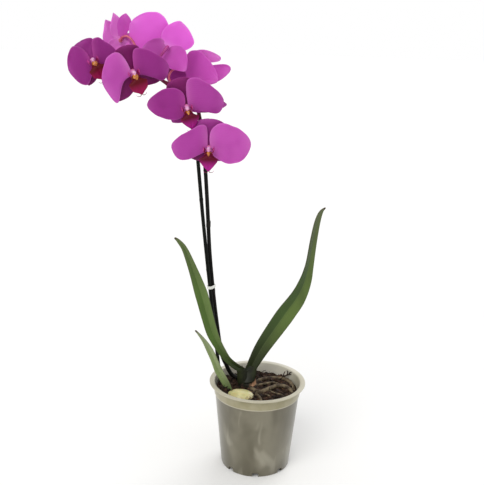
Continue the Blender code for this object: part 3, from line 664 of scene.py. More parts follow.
def scattered_mesh(name, ground, values):
    """Scatters blocks over the ground with the node tree, and bakes them to a plain mesh."""
    mesh = bpy.data.meshes.new(name + "_ground")
    mesh.from_pydata([point * MM for point in ground[0]], [], ground[1])
    carrier = bpy.data.objects.new(name + "_ground", mesh)
    scene.collection.objects.link(carrier)
    modifier = carrier.modifiers.new("Scatter", "NODES")
    modifier.node_group = scatter_tree
    for item in scatter_tree.interface.items_tree:
        if item.in_out == "INPUT" and item.name in values:
            modifier[item.identifier] = values[item.name]
    return baked_mesh(carrier, name)


LOOSE_RADIUS = 45.5
root_paths = np.vstack([smooth_rows(rows, 60) for rows in ROOT_ROWS])


def beside_roots(middle):
    """Says whether a place on the bark is clear of the roots, the stem and the old leaf base."""
    apart = np.hypot(root_paths[:, 0] - middle.x, root_paths[:, 1] - middle.y) - root_paths[:, 3]
    if apart[root_paths[:, 2] > 95.0].min() < 1.6:
        return False
    if math.hypot(middle.x + 13.0, middle.y - 13.0) < 11.5:
        return False
    return math.hypot((middle.x + 20.0) / 16.0, (middle.y + 22.0) / 11.5) > 1.0


def bark_finish(name, dark, mid, light):
    """Dry, fibrous bark: dark and middle browns in patches, with lighter breaks and fine streaks."""
    made, tree, shader = new_material(name, {"Roughness": 0.78, "Specular IOR Level": 0.3})
    place = object_place(tree)
    cover = mix(tree, cloud(tree, place, 120.0, 1.0, 0.38, 0.62), dark, mid)
    cover = mix(tree, cloud(tree, place, 210.0, 2.0, 0.6, 0.72, 0.85), cover, light)
    streaks = grain(tree, stretch(tree, place, 1.0, 0.35, 1.0), 1500.0, 3.0)
    cover = mix(tree, fade(tree, streaks, 0.45, 0.7, 0.5), cover, dark)
    paint(tree, shader, cover)
    relief(tree, shader, streaks, 0.7, 0.5)
    return made


SCATTER_LABELS = (
    "Seed", "Spacing", "Length", "Width", "Thickness", "Steps Along", "Steps Across", "Tilt", "Raggedness",
    "Rag Scale", "Lift",
)
open_ground = bark_disc(LOOSE_RADIUS, 48, 150, 0.6, beside_roots)
whole_ground = bark_disc(LOOSE_RADIUS + 2.0, 30, 100, 0.8, beside_roots)
chip_finish = bark_finish("bark_chip", tone(30, 19, 12), tone(66, 43, 28), tone(112, 80, 54))
crumb_finish = bark_finish("bark_crumb", tone(24, 16, 10), tone(48, 31, 20), tone(80, 52, 34))
fibre_finish = bark_finish("bark_fibre", tone(30, 20, 14), tone(54, 37, 26), tone(88, 66, 46))
for name, ground, finish, values in (
    ("bark_chips", open_ground, chip_finish,
     (4, 0.0038, 0.0095, 0.005, 0.0021, 4, 3, 0.5, 0.0042, 260.0, 0.0002)),
    ("bark_crumbs", whole_ground, crumb_finish,
     (9, 0.0021, 0.0032, 0.0021, 0.0015, 2, 2, 1.2, 0.0016, 500.0, 0.0003)),
    ("bark_fibres", open_ground, fibre_finish,
     (15, 0.0062, 0.015, 0.00045, 0.00045, 9, 2, 0.75, 0.006, 95.0, 0.0022)),
):
    mesh = scattered_mesh(name, ground, {"Finish": finish, **dict(zip(SCATTER_LABELS, values))})
    finish_piece(name, mesh, finish, ["bark_mix"], sharp=32)

TWIG_ROWS = [
    [(30, 28, 99, 1.3), (34, 29, 102, 1.2), (39.5, 30, 105.2, 1), (44, 28, 107, 0.5)],
    [(35, 29.2, 102.6, 0.9), (34.6, 30, 106, 0.8), (36.2, 30.2, 109.8, 0.35)],
    [(39, 29.9, 105, 0.9), (39.6, 30.4, 108.4, 0.8), (38.4, 30.2, 111, 0.4)],
    [(41, 29.5, 105.8, 0.8), (42.6, 29.8, 108.6, 0.6), (45.2, 28.2, 110, 0.3)],
]
twig_parts = [tube_part(smooth_rows(rows, 26), 10, 0.3, 2.0) for rows in TWIG_ROWS]
finish_piece("bark_twig", mesh_of("bark_twig", twig_parts), fibre_finish)


# ---------------------------------------------------------------- leaves
# Three thick, strap-shaped leaves, folded in a shallow V along a sunken midrib, with a waxy skin and a thin
# purplish rim. The two old ones are deep green and darkest at their foot, and the youngest is pale green.


def side_shares(count):
    """Shares from -1 to 1 across a blade, closer together towards its two edges."""
    return np.sin(np.linspace(-math.pi / 2, math.pi / 2, count))


def blade_part(grid, thickness, edge, end):
    """Points, faces and UVs of a closed blade about a grid: thick in the middle, thin at its rim."""
    points = np.array(grid, float)
    rows, columns = points.shape[:2]
    facing = np.cross(np.gradient(points, axis=1), np.gradient(points, axis=0))
    size = np.linalg.norm(facing, axis=2)
    for row in (0, rows - 1):
        if size[row].max() < size.max() * 1e-3:
            facing[row] = facing[1 if row == 0 else rows - 2]
    facing /= np.maximum(np.linalg.norm(facing, axis=2), 1e-9)[:, :, None]
    shares = side_shares(columns)
    along = np.linspace(0.0, 1.0, rows)
    across = np.sqrt(np.maximum(1.0 - np.abs(shares) ** edge, 0.0))
    ends = np.sqrt(np.clip(np.minimum(along, 1.0 - along) / end, 0.0, 1.0))
    half = 0.5 * thickness * ends[:, None] * across[None, :]
    upper = points + facing * half[:, :, None]
    lower = points - facing * half[:, :, None]
    verts = [Vector(point) for point in upper.reshape(-1, 3)]
    uvs = [((share + 1.0) / 2.0, v) for v in along for share in shares]
    below = {}
    for row in range(1, rows - 1):
        for column in range(1, columns - 1):
            below[row, column] = len(verts)
            verts.append(Vector(lower[row, column]))
            uvs.append(((shares[column] + 1.0) / 2.0, along[row]))
    faces = []
    for row in range(rows - 1):
        for column in range(columns - 1):
            corners = ((row, column), (row, column + 1), (row + 1, column + 1), (row + 1, column))
            faces.append(tuple(r * columns + c for r, c in corners))
            faces.append(tuple(below.get((r, c), r * columns + c) for r, c in corners[::-1]))
    return verts, faces, uvs


def welded(mesh):
    """Joins points that fell together, such as those at a pointed tip."""
    form = bmesh.new()
    form.from_mesh(mesh)
    bmesh.ops.remove_doubles(form, verts=form.verts, dist=2e-6)
    form.to_mesh(mesh)
    form.free()
    return mesh


def leaf_grid(rows, count, columns, fold, ripple):
    """Points of a leaf: its halves rise from the midrib by the fold angle, and its rim waves a little."""
    smooth = smooth_rows(rows, count)
    points = smooth[:, :3]
    grid = []
    for step, (point, forward) in enumerate(zip(points, directions(points))):
        forward = Vector(forward)
        half, turn = smooth[step, 3:]
        flat = forward.cross(Vector((0.0, -1.0, 0.0))).normalized()
        front = flat.cross(forward).normalized()
        across = Matrix.Rotation(math.radians(turn), 3, forward) @ flat
        face = Matrix.Rotation(math.radians(turn), 3, forward) @ front
        line = []
        for share in side_shares(columns):
            side = half * share * math.cos(math.radians(fold))
            valley = math.sqrt(share**2 + 0.006) - 0.077
            wave = ripple * abs(share) ** 3 * math.sin(step * 0.13 + (1.9 if share > 0 else 0.0))
            rise = half * valley * math.sin(math.radians(fold)) + wave
            line.append(Vector(point) + across * side + face * rise)
        grid.append(line)
    return grid


def surface_place(tree):
    """Where a point is on the piece's own surface: across it and along it, each from 0 to 1."""
    surface = add_node(tree, "ShaderNodeUVMap", {}, uv_map="surface")[0]
    return along_axis(tree, surface, "X"), along_axis(tree, surface, "Y")


def fine_lines(tree, across_scale, distortion):
    """Fine lines that run lengthwise on a piece, as veins do: 1 in the middle of a line."""
    surface = add_node(tree, "ShaderNodeUVMap", {}, uv_map="surface")[0]
    sockets = {"Vector": stretch(tree, surface, 1.0, 0.22, 1.0), "Scale": across_scale}
    sockets.update({"Distortion": distortion, "Detail": 2.0, "Detail Scale": 1.4})
    return add_node(tree, "ShaderNodeTexWave", sockets, bands_direction="X")[1]


def leaf_finish(name, roughness, left, right, base, tip):
    """Waxy leaf skin. Its left and right halves are painted in two greens as painted light and shade on the
    two sides of its fold, with painted sheen on the lighter half. It is darker green at its base and a paler,
    greyer green towards its tip.
    """
    wax = {"Roughness": roughness, "Specular IOR Level": 0.24, "Coat Weight": 0.03, "Coat Roughness": 0.35}
    made, tree, shader = new_material(name, wax)
    across, along = surface_place(tree)
    place = object_place(tree)
    off_rib = distance_from(tree, across, 0.5)
    # Painted light and shade: the two halves of the fold are painted in two greens, and the lighter one
    # carries painted sheen.
    cover = mix(tree, fade(tree, across, 0.4, 0.6), left, right)
    cover = mix(tree, fade(tree, along, 0.34, 0.06, 0.95), cover, base)
    cover = mix(tree, fade(tree, along, 0.62, 1.0, 0.75), cover, tip)
    mottle = fade(tree, upright_grain(tree, place, 0.4, 60.0, 4.0), 0.3, 0.7)
    cover = mix(tree, combine(tree, "MULTIPLY", mottle, 0.28), cover, base)
    veins = fine_lines(tree, 9.0, 1.2)
    cover = mix(tree, fade(tree, veins, 0.5, 1.0, 0.05), cover, tone(150, 162, 112))
    cover = mix(tree, fade(tree, off_rib, 0.022, 0.004, 0.18), cover, tone(136, 150, 96))
    cover = mix(tree, fade(tree, off_rib, 0.482, 0.5, 0.7), cover, tone(74, 48, 58))
    cover = mix(tree, fade(tree, along, 0.955, 0.995, 0.85), cover, tone(70, 50, 44))
    paint(tree, shader, cover)
    dimples = combine(tree, "MULTIPLY", grain(tree, place, 1400.0, 2.0), 0.8)
    relief(tree, shader, combine(tree, "ADD", combine(tree, "MULTIPLY", veins, 0.15), dimples), 0.3, 0.2)
    return made


LEAF_THICKNESS = 2.1
LEAF_RIPPLE = 0.45

# Rows of x, y, z, half width and turn (degrees) along each leaf, from its foot to its tip.
LEAF_LEFT_ROWS = [
    (-18.5, 9.5, 120, 5, 0),
    (-28, 7, 127, 4.8, 0),
    (-38, 4, 137, 5, 0),
    (-46, 1, 150.5, 6, 0),
    (-52.8, -2, 164.8, 7, 0),
    (-58.4, -4.5, 178.8, 7.9, 5),
    (-64, -8, 199.9, 8.4, 8),
    (-69, -12, 220.6, 8.7, 10),
    (-72.8, -14.5, 234.5, 8.5, 12),
    (-81, -19.5, 260.8, 6.2, 18),
    (-90.1, -24.5, 286.7, 4, 20),
    (-96.7, -28, 297.5, 2.6, 20),
    (-101.8, -30, 303, 0.6, 20),
]
LEAF_RIGHT_ROWS = [
    (-8.5, 13.5, 119.5, 6.5, 0),
    (-6, 14.2, 126.5, 7.6, 0),
    (2.6, 16.5, 144, 9.6, 0),
    (12, 18, 160, 10.8, 0),
    (27.6, 21, 184.3, 12, 0),
    (36, 23, 197.2, 12.2, 5),
    (44.6, 24, 210.4, 12, 12),
    (51, 25, 223.4, 10.8, 20),
    (55.2, 26, 236.4, 9.6, 29),
    (57.8, 25.5, 250, 8.2, 37),
    (59.9, 25, 264, 7.4, 40),
    (62.8, 24, 289, 6.6, 40),
    (66.4, 22, 313, 5.2, 40),
    (70.3, 20.8, 325.5, 3.4, 44),
    (75.8, 20, 331, 0.6, 55),
]
LEAF_SMALL_ROWS = [
    (-33, -4.6, 94.5, 3.6, 0),
    (-37, -4.2, 103, 4.6, 0),
    (-42.3, -4, 113.5, 5.2, 0),
    (-48.8, -5, 126, 5.2, 0),
    (-54.2, -9, 141.1, 4.6, 5),
    (-60, -13, 156.1, 4.2, 10),
    (-67.5, -18, 171.3, 2.6, 15),
    (-77.5, -22, 185.3, 0.5, 15),
]
# The greens of each leaf's left half, right half, base and tip. The two halves differ as painted light and
# shade on the two sides of the fold, and the lighter one carries painted sheen.
LEFT_GREENS = ((78, 106, 38), (94, 116, 58), (32, 42, 16), (104, 116, 72))
RIGHT_GREENS = ((56, 80, 28), (84, 104, 46), (29, 36, 13), (98, 104, 70))
YOUNG_GREENS = ((132, 150, 98), (142, 156, 112), (104, 122, 76), (130, 136, 108))
for side, rows, fold, roughness, skin_name, greens, slot in (
    ("left", LEAF_LEFT_ROWS, 28.0, 0.42, "leaf_skin_left", LEFT_GREENS, "leaf"),
    ("right", LEAF_RIGHT_ROWS, 14.0, 0.4, "leaf_skin_right", RIGHT_GREENS, "leaf"),
    ("small", LEAF_SMALL_ROWS, 20.0, 0.42, "leaf_skin_young", YOUNG_GREENS, "young_leaf"),
):
    skin = leaf_finish(skin_name, roughness, *(tone(*green) for green in greens))
    blade = blade_part(leaf_grid(rows, 150, 30, fold, LEAF_RIPPLE), LEAF_THICKNESS, 6.0, 0.012)
    name = f"strap_leaf_{side}"
    finish_piece(name, welded(mesh_of(name, [blade])), skin, [f"leaf_{side}"])


# ---------------------------------------------------------------- leaf sheaths
# The clasping feet of the leaves, which wrap the stem and flatten into the blades: three thick and dark
# ones, and one dry and papery in front of them. Each is a closed shell about a millimetre thick.


def sheath_grid(foot, foot_radius, head, head_half, tilt):
    """Points of a leaf's sheath: it wraps the stem at its foot and flattens into the blade at its head."""
    grid = []
    for t in np.linspace(0.0, 1.0, 30):
        middle = Vector(foot).lerp(Vector(head), t)
        lean = math.radians(tilt) * t
        reach = foot_radius + (head_half - foot_radius) * t
        depth = foot_radius * (1.0 - t) ** 1.5 + 1.5 * t
        wrap = math.radians(140.0 - 50.0 * t)
        line = []
        for share in side_shares(25):
            sideways = reach * math.sin(wrap * share)
            forward = depth * math.cos(wrap * share)
            slant = 2.4 * share * (1.0 - t)
            offset = Vector((sideways * math.cos(lean), -forward, sideways * math.sin(lean) + slant))
            line.append(middle + offset)
        grid.append(line)
    return grid


# Each sheath's foot, radius there, head, half width there, lean (degrees) and thickness.
DARK_SHEATHS = [
    ((-14.5, 12.5, 97), 8.6, (-23, 8.4, 123.5), 4.6, 50, 1.3),
    ((-12.3, 12.6, 104), 9, (-7.2, 13.8, 124), 6.6, -16, 1.3),
    ((-12.5, 13.5, 98), 9.2, (-15, 12, 119), 6.4, 15, 1.2),
]
PAPERY_SHEATH = ((-9.8, 11.4, 95), 9.3, (-9.8, 11.6, 109), 7, 0, 0.9)

sheath_skin, tree, shader = new_material("sheath_skin", {"Roughness": 0.5, "Specular IOR Level": 0.3})
place = object_place(tree)
cover = mix(tree, cloud(tree, place, 80.0, 4.0, 0.35, 0.65), tone(24, 27, 14), tone(42, 48, 26))
ribs = upright_grain(tree, place, 0.12, 700.0, 2.0)
cover = mix(tree, fade(tree, ribs, 0.5, 0.75, 0.3), cover, tone(58, 56, 34))
paint(tree, shader, cover)
relief(tree, shader, ribs, 0.3, 0.25)

papery_skin, tree, shader = new_material("papery_skin", {"Roughness": 0.6, "Specular IOR Level": 0.25})
place = object_place(tree)
cover = mix(tree, cloud(tree, place, 130.0, 4.0, 0.35, 0.65), tone(188, 150, 118), tone(158, 116, 86))
cover = mix(tree, fade(tree, along_axis(tree, place, "Z"), 0.101, 0.108, 0.8), cover, tone(96, 58, 42))
ribs = upright_grain(tree, place, 0.15, 800.0, 2.0)
cover = mix(tree, fade(tree, ribs, 0.5, 0.75, 0.4), cover, tone(128, 76, 50))
paint(tree, shader, cover)
relief(tree, shader, ribs, 0.3, 0.25)

for name, sheaths, skin, slot in (
    ("leaf_sheaths", DARK_SHEATHS, sheath_skin, "leaf"),
    ("papery_sheath", [PAPERY_SHEATH], papery_skin, "root"),
):
    parts = [blade_part(sheath_grid(*shape), thickness, 5.0, 0.06) for *shape, thickness in sheaths]
    finish_piece(name, welded(mesh_of(name, parts)), skin)


# ---------------------------------------------------------------- old leaf base
# The thick cream-yellow base of a leaf that was cut off, lying on the bark at the front. It is firm and
# slightly lumpy, with brown flecks low down, and it is darker towards its lower edge. Its right end is
# painted whiter, as a painted highlight.

BASE_CENTRE = (-20.5, -25.0, 102.4)
BASE_RADII = (16.4, 12.0, 6.4)
BASE_TURN = -8.0

base_form = bmesh.new()
bmesh.ops.create_uvsphere(base_form, u_segments=96, v_segments=48, radius=1.0)
for vert in base_form.verts:
    spot = vert.co.copy()
    ridge = 0.005 * math.sin(17.0 * (spot.x * 0.3 + 0.9 * spot.z + 0.1 * spot.y))
    lump = 0.05 * noise.noise(spot * 1.7) + 0.012 * noise.noise(spot * 7.0)
    vert.co = spot * (0.97 + ridge + lump)
base_size = Matrix.Diagonal((*(radius * MM for radius in BASE_RADII), 1.0))
base_turn = Matrix.Rotation(math.radians(BASE_TURN), 4, "Z")
base_place = Matrix.Translation(Vector(BASE_CENTRE) * MM) @ base_turn @ base_size
bmesh.ops.transform(base_form, matrix=base_place, verts=base_form.verts)
base_mesh = bpy.data.meshes.new("old_leaf_base")
base_form.to_mesh(base_mesh)
base_form.free()
flesh = {"Roughness": 0.4, "Subsurface Weight": 0.15, "Subsurface Scale": 0.002, "Coat Weight": 0.2}
old_skin, tree, shader = new_material("old_leaf_skin", flesh)
place = object_place(tree)
height = along_axis(tree, place, "Z")
rightward = along_axis(tree, place, "X")
cream = mix(tree, cloud(tree, place, 110.0, 4.0, 0.3, 0.7), tone(212, 204, 148), tone(190, 180, 122))
cream = mix(tree, fade(tree, height, 0.1035, 0.0995, 0.75), cream, tone(150, 128, 74))
# Painted highlight: the right end is painted whiter.
cream = mix(tree, fade(tree, rightward, -0.012, -0.004, 0.6), cream, tone(232, 227, 196))
flecks = grain(tree, stretch(tree, place, 0.6, 1.0, 1.4), 420.0, 3.0)
fleck_share = combine(tree, "MULTIPLY", fade(tree, flecks, 0.53, 0.6, 0.8), fade(tree, height, 0.1072, 0.103))
cream = mix(tree, fleck_share, cream, tone(92, 66, 36))
paint(tree, shader, cream)
relief(tree, shader, grain(tree, place, 700.0, 3.0), 0.35, 0.3)
finish_piece("old_leaf_base", base_mesh, old_skin, ["leaf_stub"])


# ---------------------------------------------------------------- support stake
# A stiff cane, nearly black with a green cast, pushed down through the bark beside the stem. It leans
# left with the spike, and a few faint knuckles mark its length.

STAKE_ROWS = [
    (-35.5, 10, 14, 2.2),
    (-46.2, 12.5, 97.5, 2.2),
    (-61.8, 15.5, 226, 2.2),
    (-71.8, 15, 318, 2.2),
    (-80.6, 13, 413, 2.2),
]
KNUCKLE_HEIGHTS = (70, 152, 250, 338)

stake_rows = smooth_rows(STAKE_ROWS, 260)
for knuckle in KNUCKLE_HEIGHTS:
    stake_rows[:, 3] += 0.28 * np.exp(-(((stake_rows[:, 2] - knuckle) / 1.6) ** 2))
cane_skin, tree, shader = new_material("dark_cane", {"Roughness": 0.5, "Specular IOR Level": 0.1})
place = object_place(tree)
long_grain = upright_grain(tree, place, 0.05, 900.0, 3.0)
cover = mix(tree, fade(tree, long_grain, 0.35, 0.65), tone(8, 10, 8), tone(18, 22, 17))
cover = mix(tree, cloud(tree, place, 70.0, 3.0, 0.55, 0.75, 0.3), cover, tone(40, 40, 32))
paint(tree, shader, cover)
relief(tree, shader, long_grain, 0.4, 0.2)
finish_piece("cane", mesh_of("cane", [tube_part(stake_rows, 28)]), cane_skin, ["support_stake"])


# ---------------------------------------------------------------- flower spike
# One nearly black stem that rises with the cane, arches over to the left, where it turns crimson, and
# carries all the flowers. At each joint it swells a little and is wrapped by a small dry pointed scale.

SPIKE_ROWS = [
    (-24.5, 20.5, 103, 2.7),
    (-33, 22.5, 107.5, 2.7),
    (-39.5, 22, 120, 2.6),
    (-46.4, 21.5, 138, 2.5),
    (-53.4, 21.5, 183, 2.5),
    (-58.8, 21, 227, 2.5),
    (-63.2, 20, 274, 2.4),
    (-66.5, 18, 331, 2.4),
    (-69.7, 14.5, 380, 2.3),
    (-73, 11, 416, 2.3),
    (-79.4, 7, 449, 2.2),
    (-88.5, 6, 461, 2.1),
    (-101.5, 5, 468.5, 2.1),
    (-115.7, 4, 476, 2),
    (-130.2, 3, 487, 1.9),
    (-142.4, 2, 497.5, 1.8),
    (-153.4, 1, 504.5, 1.6),
    (-161, 0, 508, 1.4),
]

# How far along the spike each joint is. The lower scales are longer.
JOINTS = (42, 128, 212, 290, 330, 363, 400, 418, 429, 440, 453)

spike_line = smooth_rows(SPIKE_ROWS, 400)
spike_ahead = directions(spike_line[:, :3])
spike_lengths = np.cumsum(np.linalg.norm(np.diff(spike_line[:, :3], axis=0), axis=1))
knotted_line = spike_line.copy()
for joint in JOINTS:
    off_joint = np.concatenate([[0.0], spike_lengths]) - joint
    knotted_line[:, 3] += 0.3 * np.exp(-((off_joint / 2.2) ** 2))


def scale_part(joint, length, spin):
    """A thin pointed scale that wraps the stem at a joint, open on one side."""
    index = min(int(np.searchsorted(spike_lengths, joint)), len(spike_line) - 1)
    point, radius = Vector(spike_line[index, :3]), spike_line[index, 3] + 0.28
    forward = Vector(spike_ahead[index])
    across = Matrix.Rotation(spin, 3, forward) @ forward.orthogonal().normalized()
    other = forward.cross(across)
    grid = []
    for t in np.linspace(0.0, 1.0, 14):
        wrap = math.radians(125.0) * (1.0 - t) ** 0.6
        flare = radius + 0.55 * t**1.5
        line = []
        for share in side_shares(15):
            outward = math.cos(wrap * share) * across + math.sin(wrap * share) * other
            line.append(point + forward * length * t + outward * flare)
        grid.append(line)
    return blade_part(grid, 0.35, 4.0, 0.1)


dark_stem, tree, shader = new_material("dark_stem", {"Roughness": 0.5, "Specular IOR Level": 0.12})
place = object_place(tree)
long_grain = upright_grain(tree, place, 0.12, 500.0, 3.0)
cover = mix(tree, fade(tree, long_grain, 0.3, 0.7), tone(8, 8, 7), tone(18, 18, 15))
cover = mix(tree, cloud(tree, place, 40.0, 3.0, 0.5, 0.7, 0.5), cover, tone(26, 17, 20))
height = along_axis(tree, place, "Z")
cover = mix(tree, fade(tree, height, 0.425, 0.455, 0.9), cover, tone(112, 30, 62))
paint(tree, shader, cover)
relief(tree, shader, long_grain, 0.4, 0.2)
spike_mesh = mesh_of("dark_spike", [tube_part(knotted_line, 26)])
finish_piece("dark_spike", spike_mesh, dark_stem, ["flower_spike"])

scale_parts = []
for number, joint in enumerate(JOINTS):
    scale_parts.append(scale_part(joint, 9.0 if joint < 300.0 else 4.5, 2.3 * number))
dry_scale, tree, shader = new_material("dry_scale", {"Roughness": 0.6, "Specular IOR Level": 0.2})
lines = fine_lines(tree, 5.0, 0.5)
cover = mix(tree, fade(tree, lines, 0.4, 0.9), tone(18, 17, 14), tone(34, 30, 24))
place = object_place(tree)
height = along_axis(tree, place, "Z")
cover = mix(tree, fade(tree, height, 0.42, 0.44, 0.9), cover, tone(122, 36, 66))
paint(tree, shader, cover)
relief(tree, shader, lines, 0.3, 0.1)
finish_piece("stem_scales", welded(mesh_of("stem_scales", scale_parts)), dry_scale)


# ---------------------------------------------------------------- clip
# A white plastic band, rounded at its edges, that holds the spike against the cane. It is one closed ring
# with the same section all round, as half circles about the two stems and straight between them.

CLIP_Z = 227.5
CLIP_HEIGHT = 3.6
CLIP_WALL = 1.1
CLIP_ROUNDING = 0.3
CLIP_PLAY = 0.3
CLIP_STEPS = 28
CORNER_STEPS = 4


def nearest_row(rows, height):
    """The row of a stem's path that is nearest to a height."""
    return rows[np.argmin(np.abs(rows[:, 2] - height))]


clip_spike = nearest_row(smooth_rows(SPIKE_ROWS, 200), CLIP_Z)
clip_stake = nearest_row(smooth_rows(STAKE_ROWS, 200), CLIP_Z)
clip_turn = math.atan2(clip_spike[1] - clip_stake[1], clip_spike[0] - clip_stake[0])
outline = []
for centre, start in ((clip_spike, clip_turn - math.pi / 2), (clip_stake, clip_turn + math.pi / 2)):
    for step in range(CLIP_STEPS + 1):
        outline.append((centre[0], centre[1], start + math.pi * step / CLIP_STEPS))
section = []
near, far, top = CLIP_ROUNDING, CLIP_WALL - CLIP_ROUNDING, CLIP_HEIGHT / 2 - CLIP_ROUNDING
for out, lift, begin in ((near, -top, 180), (far, -top, 270), (far, top, 0), (near, top, 90)):
    for step in range(CORNER_STEPS + 1):
        angle = math.radians(begin + 90 * step / CORNER_STEPS)
        section.append((out + CLIP_ROUNDING * math.cos(angle), lift + CLIP_ROUNDING * math.sin(angle)))
clip_verts, clip_faces, clip_uvs = [], [], []
for along, (x, y, angle) in enumerate(outline):
    for out, lift in section:
        reach = clip_spike[3] + CLIP_PLAY + out
        clip_verts.append(Vector((x + reach * math.cos(angle), y + reach * math.sin(angle), CLIP_Z + lift)))
        clip_uvs.append((0.0, along / len(outline)))
for along in range(len(outline)):
    for side in range(len(section)):
        after, ahead = (side + 1) % len(section), (along + 1) % len(outline)
        row, next_row = along * len(section), ahead * len(section)
        clip_faces.append((row + side, next_row + side, next_row + after, row + after))
white_plastic, tree, shader = new_material("white_plastic", {"Roughness": 0.32, "Specular IOR Level": 0.5})
place = object_place(tree)
white = mix(tree, cloud(tree, place, 200.0, 3.0, 0.3, 0.7), tone(244, 245, 240), tone(226, 227, 220))
paint(tree, shader, white)
relief(tree, shader, grain(tree, place, 1500.0, 2.0), 0.15, 0.1)
clip_mesh = mesh_of("white_clip", [(clip_verts, clip_faces, clip_uvs)])
finish_piece("white_clip", clip_mesh, white_plastic, ["stem_clip"])


# ---------------------------------------------------------------- petals and sepals
# Seven flowers, each with two broad petals in front and three narrower sepals behind, thin and velvety, with
# fine veins and a paler rim. The lower four face forward. The last three face back, and the light comes
# through them, so their colour is painted brighter, as painted light. Flowers and sepals that lie in shadow
# are painted darker, as painted shade.

# Every blade has an angle in the flower's face (0 to the right as seen from in front, 90 up) and a length.
# Its two edges are given by their greatest distance from the middle line and by where along the blade
# that is, and a higher tip value makes its end more pointed. It then leans forward, bends back, cups and
# droops sideways, all as shares of its length.
PETAL = dict(length=38, upper=(21, 0.3), lower=(14, 0.6), tip=0.52, lean=0.1, bend=0.2, cup=-0.1, droop=0)
SEPAL = dict(PETAL, length=28, upper=(10, 0.5), lower=(10, 0.5), tip=0.65, lean=-0.1, bend=0.1)
BLADES = {
    "petal_right": dict(PETAL, angle=14.0),
    "petal_left": dict(PETAL, angle=166.0),
    "sepal_top": dict(SEPAL, angle=90.0, upper=(13.5, 0.7), lower=(13.5, 0.7), tip=0.42),
    "sepal_left": dict(SEPAL, angle=232.0),
    "sepal_right": dict(SEPAL, angle=308.0),
}

# Half the width of a blade's claw, how far from the flower's middle it starts, and how far the petals
# stand in front of the middle and the sepals behind it.
CLAW = 4.4
HUB_RADIUS = 3.6
PETAL_LIFT = 1.2
SEPAL_LIFT = -1.2
PETAL_THICKNESS = 0.9

